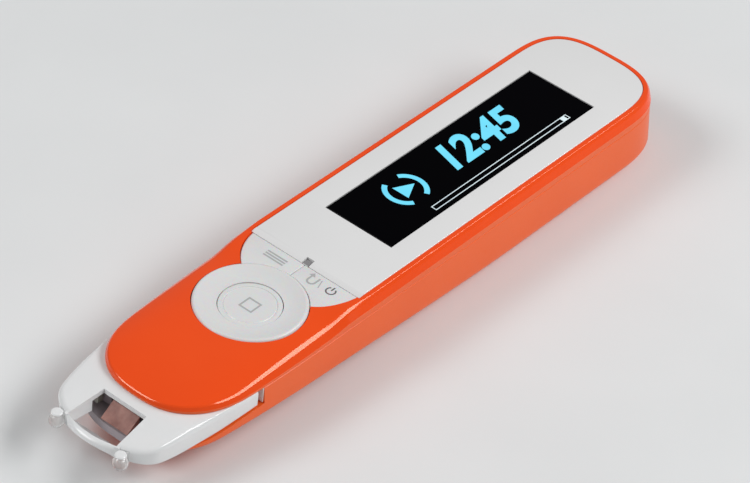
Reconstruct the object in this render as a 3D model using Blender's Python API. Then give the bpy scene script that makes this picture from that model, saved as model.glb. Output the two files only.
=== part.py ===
"""A scanning pen: a slim two-part case with a display, keys and a sprung clear tip.

World frame: +X runs from the tip to the rear end, +Y to the left of someone who
holds the tip away, +Z up. The pen lies on its belly at z = 0. Lengths are metres.
"""

import math

import bmesh
import bpy
from mathutils import Matrix, Vector

for old in list(bpy.data.objects):
    bpy.data.objects.remove(old, do_unlink=True)

# Driving sizes of the whole pen
CASE_LENGTH = 0.1345
HALF_WIDTH = 0.0134
PEN_HEIGHT = 0.0130
PARTING_HEIGHT = 0.0099
GAP = 0.0003
OVERRUN = 0.0010

TIP_X = -0.0675
REAR_X = TIP_X + CASE_LENGTH

# The plan outline: full width from here back, narrower towards the tip
TAPER_LENGTH = 0.0420
TIP_WIDTH_SHARE = 0.60
TAPER_POWER = 0.6
REAR_RUN = 0.0140
REAR_POWER = 3.0
CORNER_STEPS = 10
SIDE_STEPS = 10

# The top steps down ahead of this line, then slopes to the tip with a crown across
STEP_FROM_TIP = 0.0515
DECK_DROP = 0.0002
DECK_FALL = 0.0023
DECK_FALL_AHEAD = 0.0100
DECK_FALL_POWER = 3
SHOULDER_DROP = 0.00135
DECK_DROP_AHEAD = 0.0025
DECK_DROP_LENGTH = 0.0075
DECK_PITCH = math.radians(3.5)
CROWN_POWER = 4
CROWN_STEPS = 6

# The belly rises towards the tip
BELLY_RISE = 0.0034
BELLY_RISE_START = 0.0925
BELLY_RISE_LENGTH = 0.0750

# Upper case
RIM_ROUND_OUT = 0.0014
RIM_ROUND_DOWN = 0.0020
RIM_STEPS = 4
SEAM_SHARE = 0.10
CASE_WALL = 0.0013
SEAM_DRAFT = 0.00015
FASCIA_FROM_TIP = 0.0113
FASCIA_RUN = 0.0135
FASCIA_POWER = 2.6
FASCIA_SKIN = 0.0010
FASCIA_HOLLOW_FROM_TIP = 0.0235
LEDGE_WIDTH = 0.0016

# Lower case
BELLY_CORNER_IN = 0.0030
BELLY_CORNER_UP = 0.0026
BELLY_STEPS = 5
SIDE_FLARE = 0.0004
REAR_LEAN = 0.0006
CHIN_FROM_TIP = 0.0074
FRONT_FLOOR = 0.0010
CHIN_RUN = 0.0120

# Face plate and display
PLATE_INSET = 0.0019
PLATE_THICKNESS = 0.0016
PLATE_CHAMFER = 0.0014
PLATE_EDGE = 0.0002
PLATE_EDGE_DROP = 0.00035
WINDOW_FROM_REAR = 0.0152
WINDOW_WIDTH = 0.0143
WINDOW_THICKNESS = 0.0007
WINDOW_FROM_STEP = 0.0132
WINDOW_SILL = 0.0016
WINDOW_EDGE = 0.0002
GASKET_THICKNESS = 0.0005
PANEL_THICKNESS = 0.0011
PANEL_MARGIN = 0.0004
CARRIER_WINDOWS = 3
FLEX_WIDTH = 0.0090
FLEX_THICKNESS = 0.0002
FLEX_REACH = 0.0019

# Navigation pad and keys
PAD_FROM_STEP = 0.0133
PAD_PITCH = math.radians(0.8)
PAD_SEAT_DROP = 0.00083
PAD_RADIUS = 0.0095
PAD_PROUD = 0.0007
PAD_EDGE = 0.0004
PAD_DISH = 0.00065
PAD_DISH_STEPS = 4
PAD_FLANGE_RADIUS = 0.01025
PAD_FLANGE_THICKNESS = 0.0004
PAD_FLANGE_DROP = 0.0021
BUTTON_RADIUS = 0.0051
BUTTON_PROUD = -0.00005
BUTTON_RING_RADIUS = 0.0044
BUTTON_RING_DEPTH = 0.00012
BUTTON_DEPTH = 0.0019
KEY_SUNK = 0.0003
KEY_DEPTH = 0.0017
KEY_EDGE = 0.00012
KEY_STEM_RADIUS = 0.0010
KEY_STEM_DEPTH = 0.0034
KEY_STEM_OUT = 0.0065
KEY_STEM_FROM_STEP = 0.0037
BUTTON_STEM_DEPTH = 0.00255
PAD_RECESS_DROP = 0.0010
PAD_RECESS_RADIUS = 0.0090
WING_RADIUS = 0.0103
WING_CENTRE_BEHIND = 0.0010
WING_CENTRE_OUT = 0.0009
WING_STEPS = 8
LED_LENGTH = 0.0014
LED_WIDTH = 0.0014

# Web, mat and domes under the keys
WEB_RADIUS = 0.0086
WEB_HOLE_RADIUS = 0.0056
WEB_NUB = 0.0009
WEB_THICKNESS = 0.0003
MAT_THICKNESS = 0.00035
MAT_RADIUS = 0.0086
MAT_TAB_HALF_WIDTH = 0.0082
DOME_RADIUS = 0.0014
DOME_HEIGHT = 0.0003
DOME_FILM = 0.0001
DOME_SHOULDER_SHARE = 0.7
DOME_RING_RADIUS = 0.0068

# Main board
BOARD_TOP = 0.0080
BOARD_THICKNESS = 0.0010
BOARD_HALF_WIDTH = 0.0103
BOARD_FRONT_FROM_TIP = 0.0292
BOARD_SHOULDER_FROM_REAR = 0.0130
BOARD_TONGUE_HALF_WIDTH = 0.0072
BOARD_TONGUE_LENGTH = 0.0100
BOARD_ARM_LENGTH = 0.0055
BOARD_ARM_WIDTH = 0.0027
SHIELD_LENGTH = 0.0130
SHIELD_WIDTH = 0.0140
SHIELD_HEIGHT = 0.0012
SHIELD_FROM_FRONT = 0.0055
SHIELD_EDGE = 0.0002
CHIP_SIZE = 0.0060
CHIP_GAP = 0.0025
CHIP_HEIGHT = 0.0008
LED_CHIP_HEIGHT = 0.0006

# Battery
BATTERY_FROM_SPEAKER = 0.0035
BATTERY_WIDTH = 0.0170
BATTERY_THICKNESS = 0.0048
BATTERY_FROM_REAR = 0.0160
BATTERY_CORNER = 0.0012
LEAD_RADIUS = 0.0004
PLUG_LENGTH = 0.0028
PLUG_WIDTH = 0.0036
PLUG_HEIGHT = 0.0012
PLUG_GAP = 0.0024

# Speaker
SPEAKER_LENGTH = 0.0140
SPEAKER_WIDTH = 0.0110
SPEAKER_HEIGHT = 0.0016
SPEAKER_FROM_TIP = 0.0625
SPEAKER_GASKET = 0.0005
SPEAKER_RIM = 0.0014
SPEAKER_EDGE = 0.0003
SLOT_WIDTH = 0.0009
SLOT_LENGTH = 0.0070
SLOT_PITCH = 0.0018
SLOT_COUNT = 5

# Sockets at the rear end
USB_WIDTH = 0.0075
USB_HEIGHT = 0.0025
USB_LENGTH = 0.0062
USB_SHELL = 0.0003
USB_TONGUE = 0.0006
USB_CORNER = 0.0005
USB_OFFSET = 0.0036
JACK_WIDTH = 0.0056
JACK_HEIGHT = 0.0047
JACK_LENGTH = 0.0112
JACK_COLLAR_RADIUS = 0.0023
JACK_BORE_RADIUS = 0.0018
JACK_BORE_DEPTH = 0.0105
JACK_OFFSET = 0.0040
SOCKET_RECESS = 0.0005
JACK_NECK = 0.0058

# Screws and their posts
POST_RADIUS = 0.0016
BOSS_RADIUS = 0.0022
PILOT_RADIUS = 0.0009
POST_FOOT_HEIGHT = 0.0049
SCREW_HEAD_RADIUS = 0.0015
SCREW_HEAD_HEIGHT = 0.0010
SCREW_SHANK_RADIUS = 0.0006
SCREW_LENGTH = 0.0069
SCREW_SUNK = 0.0005
SCREW_DRIVE_RADIUS = 0.0008
SCREW_DRIVE_DEPTH = 0.0005
SCREW_REAR_FROM_END = 0.0100
SCREW_FRONT_FROM_STEP = 0.0016
SCREW_REAR_OUT = 0.0093
SCREW_FRONT_OUT = 0.0094

# Clear tip
TIP_TRAVEL = 0.0010
TIP_BEHIND_FEET = 0.0015
TIP_RUN = 0.0055
TIP_POWER = 2.6
TIP_WALL = 0.0011
TIP_LIP = 0.0010
TIP_ROOF = 0.0009
TIP_EDGE = 0.0010
TIP_EDGE_SHARE = 0.28
TIP_EDGE_STEPS = 4
TIP_CHIN_RISE = 0.0014
TIP_CHIN_LENGTH = 0.0095
TIP_DRAFT = 0.0002
TIP_TOP_DROP = 0.0014
TIP_STRIP_FROM_TIP = 0.0260
TIP_LINE_HEIGHT = 0.0064
TIP_LINE_SLOPE = 0.077
TIP_ROOF_LAP = 0.0008
MOUTH_FRONT_FROM_TIP = 0.0024
MOUTH_REAR_FROM_TIP = 0.0094
MOUTH_FRONT_HALF_WIDTH = 0.0052
MOUTH_REAR_HALF_WIDTH = 0.0045
ARCH_HALF_WIDTH = 0.0053
ARCH_HEIGHT = 0.0074
ARCH_RISE = 0.0018
FOOT_RADIUS = 0.0013
FOOT_HEIGHT = 0.0026
FOOT_BOTTOM = 0.0052
FOOT_OUT = 0.0068
FOOT_CROWN = 0.0012
FOOT_STEPS = 4
FOOT_CAP_WALL = 0.0003
FOOT_CAP_DEPTH = 0.0009
FOOT_CAP_RISE = 0.0003
LUG_LENGTH = 0.0014
LUG_FROM_TIP = 0.0205
LUG_REACH = 0.0056
LUG_BOTTOM = 0.0066
LUG_TOP = 0.0092

# Core of the lower case that the tip slides over
CORE_CLEARANCE = 0.0005
CORE_WALL = 0.0011
CORE_RUN = 0.0060
CORE_FRONT_FROM_TIP = 0.0112
CORE_TOP_HEIGHT = 0.0082

# Tip springs and scan switch
SPRING_RADIUS = 0.0009
SPRING_WIRE = 0.0003
SPRING_TURNS = 5
SPRING_POINTS = 9
SPRING_OUT = 0.0089
SPRING_AXIS_HEIGHT = 0.0074
SPRING_LENGTH = 0.0043
RIB_THICKNESS = 0.0010
SWITCH_LENGTH = 0.0030
SWITCH_WIDTH = 0.0022
SWITCH_HEIGHT = 0.0012
SWITCH_OUT = 0.0063
SWITCH_FROM_BOARD = 0.0023
PLUNGER_RADIUS = 0.00035
PLUNGER_LENGTH = 0.0022

# Optics
TUNNEL_HALF_WIDTH = 0.0040
TUNNEL_BOTTOM = 0.0059
TUNNEL_HEIGHT = 0.0022
TUNNEL_WALL = 0.0005
TUNNEL_LENGTH = 0.0118
BEZEL_HALF_WIDTH = 0.0078
BEZEL_THICKNESS = 0.0008
LENS_BARREL_RADIUS = 0.0014
LENS_BARREL_LENGTH = 0.0042
LENS_RADIUS = 0.0010
LENS_THICKNESS = 0.0006
SENSOR_THICKNESS = 0.0007
SENSOR_HALF_WIDTH = 0.0042
SENSOR_HEIGHT = 0.0034
SCAN_LIGHT_SIZE = 0.0012
SCAN_LIGHT_OUT = 0.0056
GUIDE_HALF_WIDTH = 0.0028
GUIDE_THICKNESS = 0.0007
GUIDE_LENGTH = 0.0028
GUIDE_TOP = 0.0079
GUIDE_BOTTOM = 0.0058

ROUND_STEPS = 48
SMALL_ROUND_STEPS = 16


# Materials and objects


def plastic(name, colour, roughness, metallic=0.0, alpha=1.0):
    """One Principled material in a linear colour."""
    made = bpy.data.materials.new(name)
    made.use_nodes = True
    shader = made.node_tree.nodes["Principled BSDF"]
    shader.inputs["Base Color"].default_value = (*colour, 1.0)
    shader.inputs["Roughness"].default_value = roughness
    shader.inputs["Metallic"].default_value = metallic
    shader.inputs["Alpha"].default_value = alpha
    made.diffuse_color = (*colour, alpha)
    return made


ORANGE = plastic("orange_gloss", (0.80, 0.10, 0.015), 0.18)
WHITE = plastic("white_plate", (0.68, 0.69, 0.68), 0.25)
KEY_WHITE = plastic("key_white", (0.66, 0.67, 0.66), 0.35)
CLEAR = plastic("clear_tip", (0.85, 0.87, 0.88), 0.08, alpha=0.45)
BLACK_GLASS = plastic("black_glass", (0.004, 0.004, 0.005), 0.05)
BLACK = plastic("black_plastic", (0.02, 0.018, 0.022), 0.45)
FOAM = plastic("foam", (0.03, 0.03, 0.03), 0.9)
SILICONE = plastic("silicone", (0.45, 0.46, 0.46), 0.6)
BOARD_GREEN = plastic("board_green", (0.02, 0.12, 0.05), 0.4)
STEEL = plastic("steel", (0.55, 0.55, 0.56), 0.3, metallic=1.0)
AMBER = plastic("amber_guide", (0.35, 0.10, 0.05), 0.15)
SILVER_FOIL = plastic("battery_foil", (0.5, 0.5, 0.52), 0.4, metallic=0.6)
FLEX_AMBER = plastic("flex_amber", (0.45, 0.2, 0.03), 0.35)
LIGHT = plastic("light_chip", (0.9, 0.85, 0.6), 0.3)
LENS_GLASS = plastic("lens_glass", (0.1, 0.12, 0.18), 0.03)


def place(name, points, faces, material):
    """A mesh object whose faces are turned outwards."""
    mesh = bpy.data.meshes.new(name)
    mesh.from_pydata([tuple(p) for p in points], [], faces)
    work = bmesh.new()
    work.from_mesh(mesh)
    bmesh.ops.recalc_face_normals(work, faces=work.faces)
    if work.calc_volume(signed=True) < 0:
        bmesh.ops.reverse_faces(work, faces=work.faces)
    work.to_mesh(mesh)
    work.free()
    mesh.shade_smooth()
    mesh.set_sharp_from_angle(angle=math.radians(30))
    made = bpy.data.objects.new(name, mesh)
    made.data.materials.append(material)
    bpy.context.collection.objects.link(made)
    return made


def hide_tool(tool):
    """A cutter or an added block is a guide, not a piece."""
    tool.hide_render = True
    tool.display_type = "WIRE"
    return tool


def cut(piece, *tools):
    """Takes each tool's volume out of the piece."""
    for tool in tools:
        hide_tool(tool)
        modifier = piece.modifiers.new("cut " + tool.name, "BOOLEAN")
        modifier.operation = "DIFFERENCE"
        modifier.object = tool


def add(piece, *tools):
    """Fuses each tool's volume to the piece."""
    for tool in tools:
        hide_tool(tool)
        modifier = piece.modifiers.new("add " + tool.name, "BOOLEAN")
        modifier.operation = "UNION"
        modifier.object = tool


def prism(name, outline, low, high, material=BLACK):
    """An outline in plan, extruded from one height to another."""
    count = len(outline)
    points = [(x, y, low) for x, y in outline] + [(x, y, high) for x, y in outline]
    faces = [tuple(reversed(range(count))), tuple(range(count, 2 * count))]
    faces += [(i, (i + 1) % count, count + (i + 1) % count, count + i) for i in range(count)]
    return place(name, points, faces, material)


def block(name, x_low, x_high, y_low, y_high, z_low, z_high, material=BLACK):
    """A rectangular block between named limits."""
    outline = [(x_low, y_low), (x_high, y_low), (x_high, y_high), (x_low, y_high)]
    return prism(name, outline, z_low, z_high, material)


def circle(radius, steps=SMALL_ROUND_STEPS, centre=(0.0, 0.0)):
    """Points of a circle in plan."""
    turn = 2 * math.pi / steps
    return [
        (centre[0] + radius * math.cos(i * turn), centre[1] + radius * math.sin(i * turn))
        for i in range(steps)
    ]


def turned(name, profile, steps, material):
    """A solid turned about Z from (radius, height) points, bottom to top."""
    points = []
    faces = []
    rows = []
    for radius, height in profile:
        if radius == 0:
            rows.append([len(points)])
            points.append((0.0, 0.0, height))
        else:
            rows.append(list(range(len(points), len(points) + steps)))
            points += [(x, y, height) for x, y in circle(radius, steps)]
    for low, high in zip(rows, rows[1:]):
        for i in range(steps):
            j = (i + 1) % steps
            if len(low) == 1:
                faces.append((low[0], high[j], high[i]))
            elif len(high) == 1:
                faces.append((low[i], low[j], high[0]))
            else:
                faces.append((low[i], low[j], high[j], high[i]))
    if len(rows[0]) > 1:
        faces.append(tuple(reversed(rows[0])))
    if len(rows[-1]) > 1:
        faces.append(tuple(rows[-1]))
    return place(name, points, faces, material)


def rod_along_x(name, radius, x_low, x_high, y, z, material=BLACK, steps=SMALL_ROUND_STEPS):
    """A round rod that lies along X."""
    made = turned(name, [(radius, 0.0), (radius, x_high - x_low)], steps, material)
    made.data.transform(Matrix.Translation((x_low, y, z)) @ Matrix.Rotation(math.pi / 2, 4, "Y"))
    return made


def soften(piece, width, segments=2):
    """Rounds the sharp edges of a moulded piece."""
    modifier = piece.modifiers.new("soft edges", "BEVEL")
    modifier.width = width
    modifier.segments = segments
    modifier.limit_method = "ANGLE"
    modifier.angle_limit = math.radians(40)
    modifier.harden_normals = False


# The shape of the pen: its plan, its top and its belly


def half_width(x):
    """Half the case's width at x, narrower towards the tip."""
    run = min(max((x - TIP_X) / TAPER_LENGTH, 0.0), 1.0)
    fill = math.sin(math.pi / 2 * run**TAPER_POWER)
    return HALF_WIDTH * (TIP_WIDTH_SHARE + (1 - TIP_WIDTH_SHARE) * fill)


def eased(run):
    """A share from 0 to 1 that starts and ends level."""
    run = min(max(run, 0.0), 1.0)
    return run * run * (3 - 2 * run)


def top_height(x):
    """Height of the top along its middle: nearly level, then falling to the tip."""
    ahead = STEP_X - DECK_DROP_AHEAD - x
    fall_start = STEP_X - DECK_FALL_AHEAD
    run = max(fall_start - x, 0.0) / (fall_start - FASCIA_FRONT_X)
    return PEN_HEIGHT - DECK_DROP * eased(ahead / DECK_DROP_LENGTH) - DECK_FALL * run**DECK_FALL_POWER


def shoulder_height(x):
    """Height of the top at its sides: a soft drop, then a slope to the tip."""
    ahead = STEP_X - DECK_DROP_AHEAD - x
    slope = max(ahead - DECK_DROP_LENGTH, 0.0) * math.tan(DECK_PITCH)
    return PEN_HEIGHT - SHOULDER_DROP * eased(ahead / DECK_DROP_LENGTH) - slope


def top_surface(x, y):
    """Height of the top anywhere, with the deck's crown across."""
    crown = top_height(x) - shoulder_height(x)
    return top_height(x) - crown * abs(y / HALF_WIDTH)**CROWN_POWER


def belly_height(x):
    """Height of the belly, which rises towards the tip."""
    return BELLY_RISE * eased((TIP_X + BELLY_RISE_START - x) / BELLY_RISE_LENGTH)


def tip_line(x):
    """Height of the slanted line where the tip meets the lower case."""
    return TIP_LINE_HEIGHT + (x - STRIP_END_X) * TIP_LINE_SLOPE


def tip_top(x):
    """Height of the clear tip's top, which falls away ahead of the fascia."""
    run = min(max((FASCIA_FRONT_X - x) / (FASCIA_FRONT_X - TIP_X), 0.0), 1.0)
    return PARTING_HEIGHT - GAP - TIP_TOP_DROP * run


def tip_bottom(x):
    """Height of the clear tip's lower edge, which curves up at its front."""
    ahead = TIP_X + TIP_BEHIND_FEET + TIP_CHIN_LENGTH - x
    return tip_line(x) + GAP + TIP_CHIN_RISE * (max(ahead, 0.0) / TIP_CHIN_LENGTH)**2


def rounded_end(run, power):
    """Steps along and shares across a superelliptic end, from its middle out."""
    ends = []
    for k in range(CORNER_STEPS + 1):
        angle = math.pi / 2 * k / CORNER_STEPS
        along = math.cos(angle) ** (2 / power) if k < CORNER_STEPS else 0.0
        ends.append((run * (1 - along), math.sin(angle) ** (2 / power)))
    return ends


def case_plan(front_x, front_run=0.0, power=REAR_POWER, inset=0.0, end_x=None):
    """A closed plan outline along the case's side, moved in by inset.

    A front_run of zero makes a square front at front_x. With end_x the outline
    stops square there, and without it the outline goes round the rear end.
    """
    half = []
    if front_run:
        for along, share in rounded_end(front_run, power):
            half.append((front_x + along, half_width(front_x + along) * share))
    else:
        corner = front_x - inset
        half += [(corner, 0.0), (corner, half_width(corner))]
    side_low = front_x + front_run
    side_high = REAR_X - REAR_RUN if end_x is None else end_x
    for k in range(1, SIDE_STEPS):
        x = side_low + (side_high - side_low) * k / SIDE_STEPS
        half.append((x, half_width(x)))
    if end_x is None:
        for along, share in reversed(rounded_end(REAR_RUN, REAR_POWER)):
            half.append((REAR_X - along, half_width(REAR_X - along) * share))
    else:
        corner = end_x + inset
        half += [(corner, half_width(corner)), (corner, 0.0)]
    return moved_in(half + [(x, -y) for x, y in reversed(half[1:-1])], inset)


def moved_in(loop, inset):
    """Moves a clockwise loop of points in by a distance, square to its edges."""
    count = len(loop)
    result = []
    for i in range(count):
        here = Vector(loop[i])
        edge_in = (here - Vector(loop[i - 1])).normalized()
        edge_out = (Vector(loop[(i + 1) % count]) - here).normalized()
        normal_in = Vector((edge_in.y, -edge_in.x))
        middle = (normal_in + Vector((edge_out.y, -edge_out.x))).normalized()
        result.append(tuple(here + middle * (inset / max(middle.dot(normal_in), 0.5))))
    return result


def ring(outline, height_of):
    """Plan points lifted to the height that a rule gives at their x."""
    return [(x, y, height_of(x)) for x, y in outline]


def crowned(outline, drop=0.0):
    """Plan points lifted to the crowned top, less a drop."""
    return [(x, y, top_surface(x, y) - drop) for x, y in outline]


def loft(name, rings, material=None, crown_drop=None):
    """A body from stacked plan rings, capped across between mirrored points.

    With a crown_drop the upper cap follows the crowned top, that far below it.
    """
    count = len(rings[0])
    half = count // 2
    points = [p for level in rings for p in level]
    faces = []
    for level in range(len(rings) - 1):
        low = level * count
        high = low + count
        for i in range(count):
            j = (i + 1) % count
            faces.append((low + i, low + j, high + j, high + i))
    for start in (0, (len(rings) - 1) * count):
        last = start + count
        if start and crown_drop is not None:
            faces += crowned_cap(points, start, count, crown_drop)
            continue
        faces.append((start, start + 1, start + 2, last - 2, last - 1))
        middle = start + half
        faces.append((middle, middle + 1, middle + 2, middle - 2, middle - 1))
        for i in range(2, half - 2):
            faces.append((start + i, start + i + 1, start + count - i - 1, start + count - i))
    return place(name, points, faces, material or BLACK)


def crowned_cap(points, start, count, drop):
    """Faces of a crowned cap over the ring that starts at a point index."""
    half = count // 2
    rows = [[start] * (CROWN_STEPS + 1)]
    for i in range(1, half):
        left = points[start + i]
        right = points[start + count - i]
        row = [start + i]
        for k in range(1, CROWN_STEPS):
            share = k / CROWN_STEPS
            x = left[0] + (right[0] - left[0]) * share
            y = left[1] + (right[1] - left[1]) * share
            row.append(len(points))
            points.append((x, y, top_surface(x, y) - drop))
        rows.append(row + [start + count - i])
    rows.append([start + half] * (CROWN_STEPS + 1))
    faces = []
    for near, far in zip(rows, rows[1:]):
        for k in range(CROWN_STEPS):
            corners = []
            for point in (near[k], far[k], far[k + 1], near[k + 1]):
                if point not in corners:
                    corners.append(point)
            faces.append(tuple(corners))
    return faces


def flat(height):
    """A rule that gives one height everywhere."""
    return lambda x: height


STEP_X = TIP_X + STEP_FROM_TIP
FASCIA_FRONT_X = TIP_X + FASCIA_FROM_TIP
STRIP_END_X = TIP_X + TIP_STRIP_FROM_TIP
ABOVE = PEN_HEIGHT + OVERRUN
SEAT_HEIGHT = PEN_HEIGHT - PLATE_THICKNESS - GAP
BOSS_FOOT = SCREW_SUNK + SCREW_HEAD_HEIGHT + GAP

# The pad's frame: in the top at the pad's centre, Z against its press direction
PAD_X = STEP_X - PAD_FROM_STEP
PAD_FRAME = Matrix.Translation((PAD_X, 0.0, PEN_HEIGHT - PAD_SEAT_DROP))
PAD_FRAME @= Matrix.Rotation(-PAD_PITCH, 4, "Y")


def on_pad(piece):
    """Puts a piece made about its own origin in the pad's frame."""
    piece.matrix_world = PAD_FRAME
    return piece


def over_pad(piece):
    """Puts a level piece made about its own origin over the pad's centre."""
    piece.location = (PAD_X, 0.0, PEN_HEIGHT)
    return piece


def wing_outline(side, clearance=0.0):
    """Outline of one wing key about the pad's centre, grown by a clearance."""
    centre_x = PAD_FROM_STEP + WING_CENTRE_BEHIND
    inner = PAD_RADIUS + GAP - clearance
    radius = WING_RADIUS + clearance
    end_x = PAD_FROM_STEP - GAP + clearance
    start = math.acos((end_x - centre_x) / radius)
    low = start
    high = math.pi
    for _ in range(30):
        angle = (low + high) / 2
        x = centre_x + radius * math.cos(angle)
        y = WING_CENTRE_OUT + radius * math.sin(angle)
        if math.hypot(x, y) > inner:
            low = angle
        else:
            high = angle
    arc = []
    for k in range(WING_STEPS + 1):
        angle = start + (low - start) * k / WING_STEPS
        arc.append((
            centre_x + radius * math.cos(angle),
            WING_CENTRE_OUT + radius * math.sin(angle),
        ))
    meet = math.atan2(arc[-1][1], arc[-1][0])
    split = GAP / 2 - clearance
    first = math.asin(split / inner)
    for k in range(1, WING_STEPS + 1):
        angle = meet + (first - meet) * k / WING_STEPS
        arc.append((inner * math.cos(angle), inner * math.sin(angle)))
    arc.append((end_x, split))
    return [(x, side * y) for x, y in arc]


def post_places():
    """Where the four case screws stand, in plan."""
    rear = REAR_X - SCREW_REAR_FROM_END
    front = STEP_X + SCREW_FRONT_FROM_STEP
    places = []
    for side in (1, -1):
        places += [(rear, side * SCREW_REAR_OUT), (front, side * SCREW_FRONT_OUT)]
    return places


# Upper case: fascia and rim in one moulding


def upper_shell():
    """The rounded outer body of the upper case, solid."""
    levels = [(SEAM_DRAFT, 0.0), (0.0, SEAM_SHARE)]
    side_share = 1 - RIM_ROUND_DOWN / (PEN_HEIGHT - PARTING_HEIGHT)
    for k in range(RIM_STEPS + 1):
        angle = math.pi / 2 * k / RIM_STEPS
        inset = RIM_ROUND_OUT * (1 - math.cos(angle))
        levels.append((inset, side_share + (1 - side_share) * math.sin(angle)))
    rings = []
    for inset, share in levels:
        outline = case_plan(FASCIA_FRONT_X, FASCIA_RUN, FASCIA_POWER, inset)
        rings.append([
            (x, y, PARTING_HEIGHT + (top_surface(x, y) - PARTING_HEIGHT) * share)
            for x, y in outline
        ])
    shell = loft("upper_case", rings, ORANGE, crown_drop=0.0)
    facets = shell.modifiers.new("facets", "TRIANGULATE")
    facets.quad_method = "FIXED"
    return shell


def make_upper_case():
    """Shell with a seat for the plate, holes for the pad and keys, and posts."""
    shell = upper_shell()
    below = PARTING_HEIGHT - OVERRUN
    seat = case_plan(STEP_X - GAP, inset=PLATE_INSET - GAP)
    cut(shell, prism("plate_seat", seat, SEAT_HEIGHT, ABOVE))
    well = case_plan(STEP_X + LEDGE_WIDTH, inset=PLATE_INSET + LEDGE_WIDTH)
    cut(shell, prism("plate_well", well, below, ABOVE))

    hollow = case_plan(TIP_X + FASCIA_HOLLOW_FROM_TIP, inset=2 * CASE_WALL, end_x=STEP_X)
    hollow_rings = [ring(hollow, flat(below)), crowned(hollow, FASCIA_SKIN)]
    cut(shell, loft("fascia_hollow", hollow_rings, crown_drop=FASCIA_SKIN))

    reach = PEN_HEIGHT / 2
    cut(shell, on_pad(prism("pad_hole", circle(PAD_RADIUS + GAP, ROUND_STEPS), -reach, reach)))
    for side, name in ((1, "menu_hole"), (-1, "back_hole")):
        cut(shell, over_pad(prism(name, wing_outline(side, GAP), -reach, reach)))
    notch = LED_WIDTH / 2 + GAP
    cut(shell, block("light_hole", STEP_X - OVERRUN, STEP_X + LED_LENGTH + GAP, -notch, notch,
                     below, ABOVE))

    for x, y in post_places():
        outer = math.copysign(half_width(x) - CASE_WALL, y)
        post_top = SEAT_HEIGHT - GAP
        post = prism("post", circle(POST_RADIUS, centre=(x, y)), POST_FOOT_HEIGHT, post_top)
        web = block("post_web", x - POST_RADIUS / 2, x + POST_RADIUS / 2,
                    min(y, outer), max(y, outer), PARTING_HEIGHT + GAP, post_top - GAP)
        add(shell, post, web)
        pilot_top = SCREW_SUNK + SCREW_HEAD_HEIGHT + SCREW_LENGTH + GAP
        cut(shell, prism("pilot", circle(PILOT_RADIUS, centre=(x, y)), 0.0, pilot_top))


# Lower case: belly shell with bosses, ribs and sockets' mouths


def lower_shell():
    """The rounded outer body of the lower case, solid."""
    top = PARTING_HEIGHT - GAP
    corner_share = BELLY_CORNER_UP / top
    levels = [(SEAM_DRAFT, 1.0), (0.0, 1 - SEAM_SHARE)]
    for k in range(BELLY_STEPS + 1):
        angle = math.pi / 2 * k / BELLY_STEPS
        inset = -SIDE_FLARE + (BELLY_CORNER_IN + SIDE_FLARE) * (1 - math.cos(angle))
        levels.append((inset, corner_share * (1 - math.sin(angle))))
    rings = []
    for inset, share in levels:
        outline = case_plan(TIP_X + CHIN_FROM_TIP, CHIN_RUN, FASCIA_POWER, inset)
        rings.append([
            (
                x + REAR_LEAN * (1 - share) * eased((x - REAR_X + REAR_RUN) / REAR_RUN),
                y,
                belly_height(x) + (top - belly_height(x)) * share,
            )
            for x, y in outline
        ])
    return loft("lower_case", rings, ORANGE)


def tip_room():
    """The space that the sliding tip keeps, outside the case's core."""
    outer = [(TIP_X - OVERRUN, HALF_WIDTH + OVERRUN), (notch_x(), HALF_WIDTH + OVERRUN)]
    corners = outer + [(x, -y) for x, y in reversed(outer)]
    room = prism("tip_room", corners, 0.0, ABOVE)
    for vertex in room.data.vertices:
        if vertex.co.z == 0:
            vertex.co.z = tip_line(vertex.co.x)
    inset = TIP_WALL + CORE_CLEARANCE
    core = case_plan(TIP_X + CORE_FRONT_FROM_TIP - inset, CORE_RUN, FASCIA_POWER, inset)
    neck_inset = TIP_ROOF_LAP + TIP_TRAVEL + GAP
    neck = case_plan(FASCIA_FRONT_X, FASCIA_RUN, FASCIA_POWER, neck_inset)
    cut(room, prism("core", core, -OVERRUN, CORE_TOP_HEIGHT))
    cut(room, prism("neck", neck, CORE_TOP_HEIGHT - OVERRUN, ABOVE + OVERRUN))
    return room


def notch_x():
    """Where the notch for the tip's side strips ends."""
    return STRIP_END_X + TIP_TRAVEL + GAP


def floor_height(x):
    """Height of the lower case's floor inside."""
    return belly_height(x) + CASE_WALL


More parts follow.
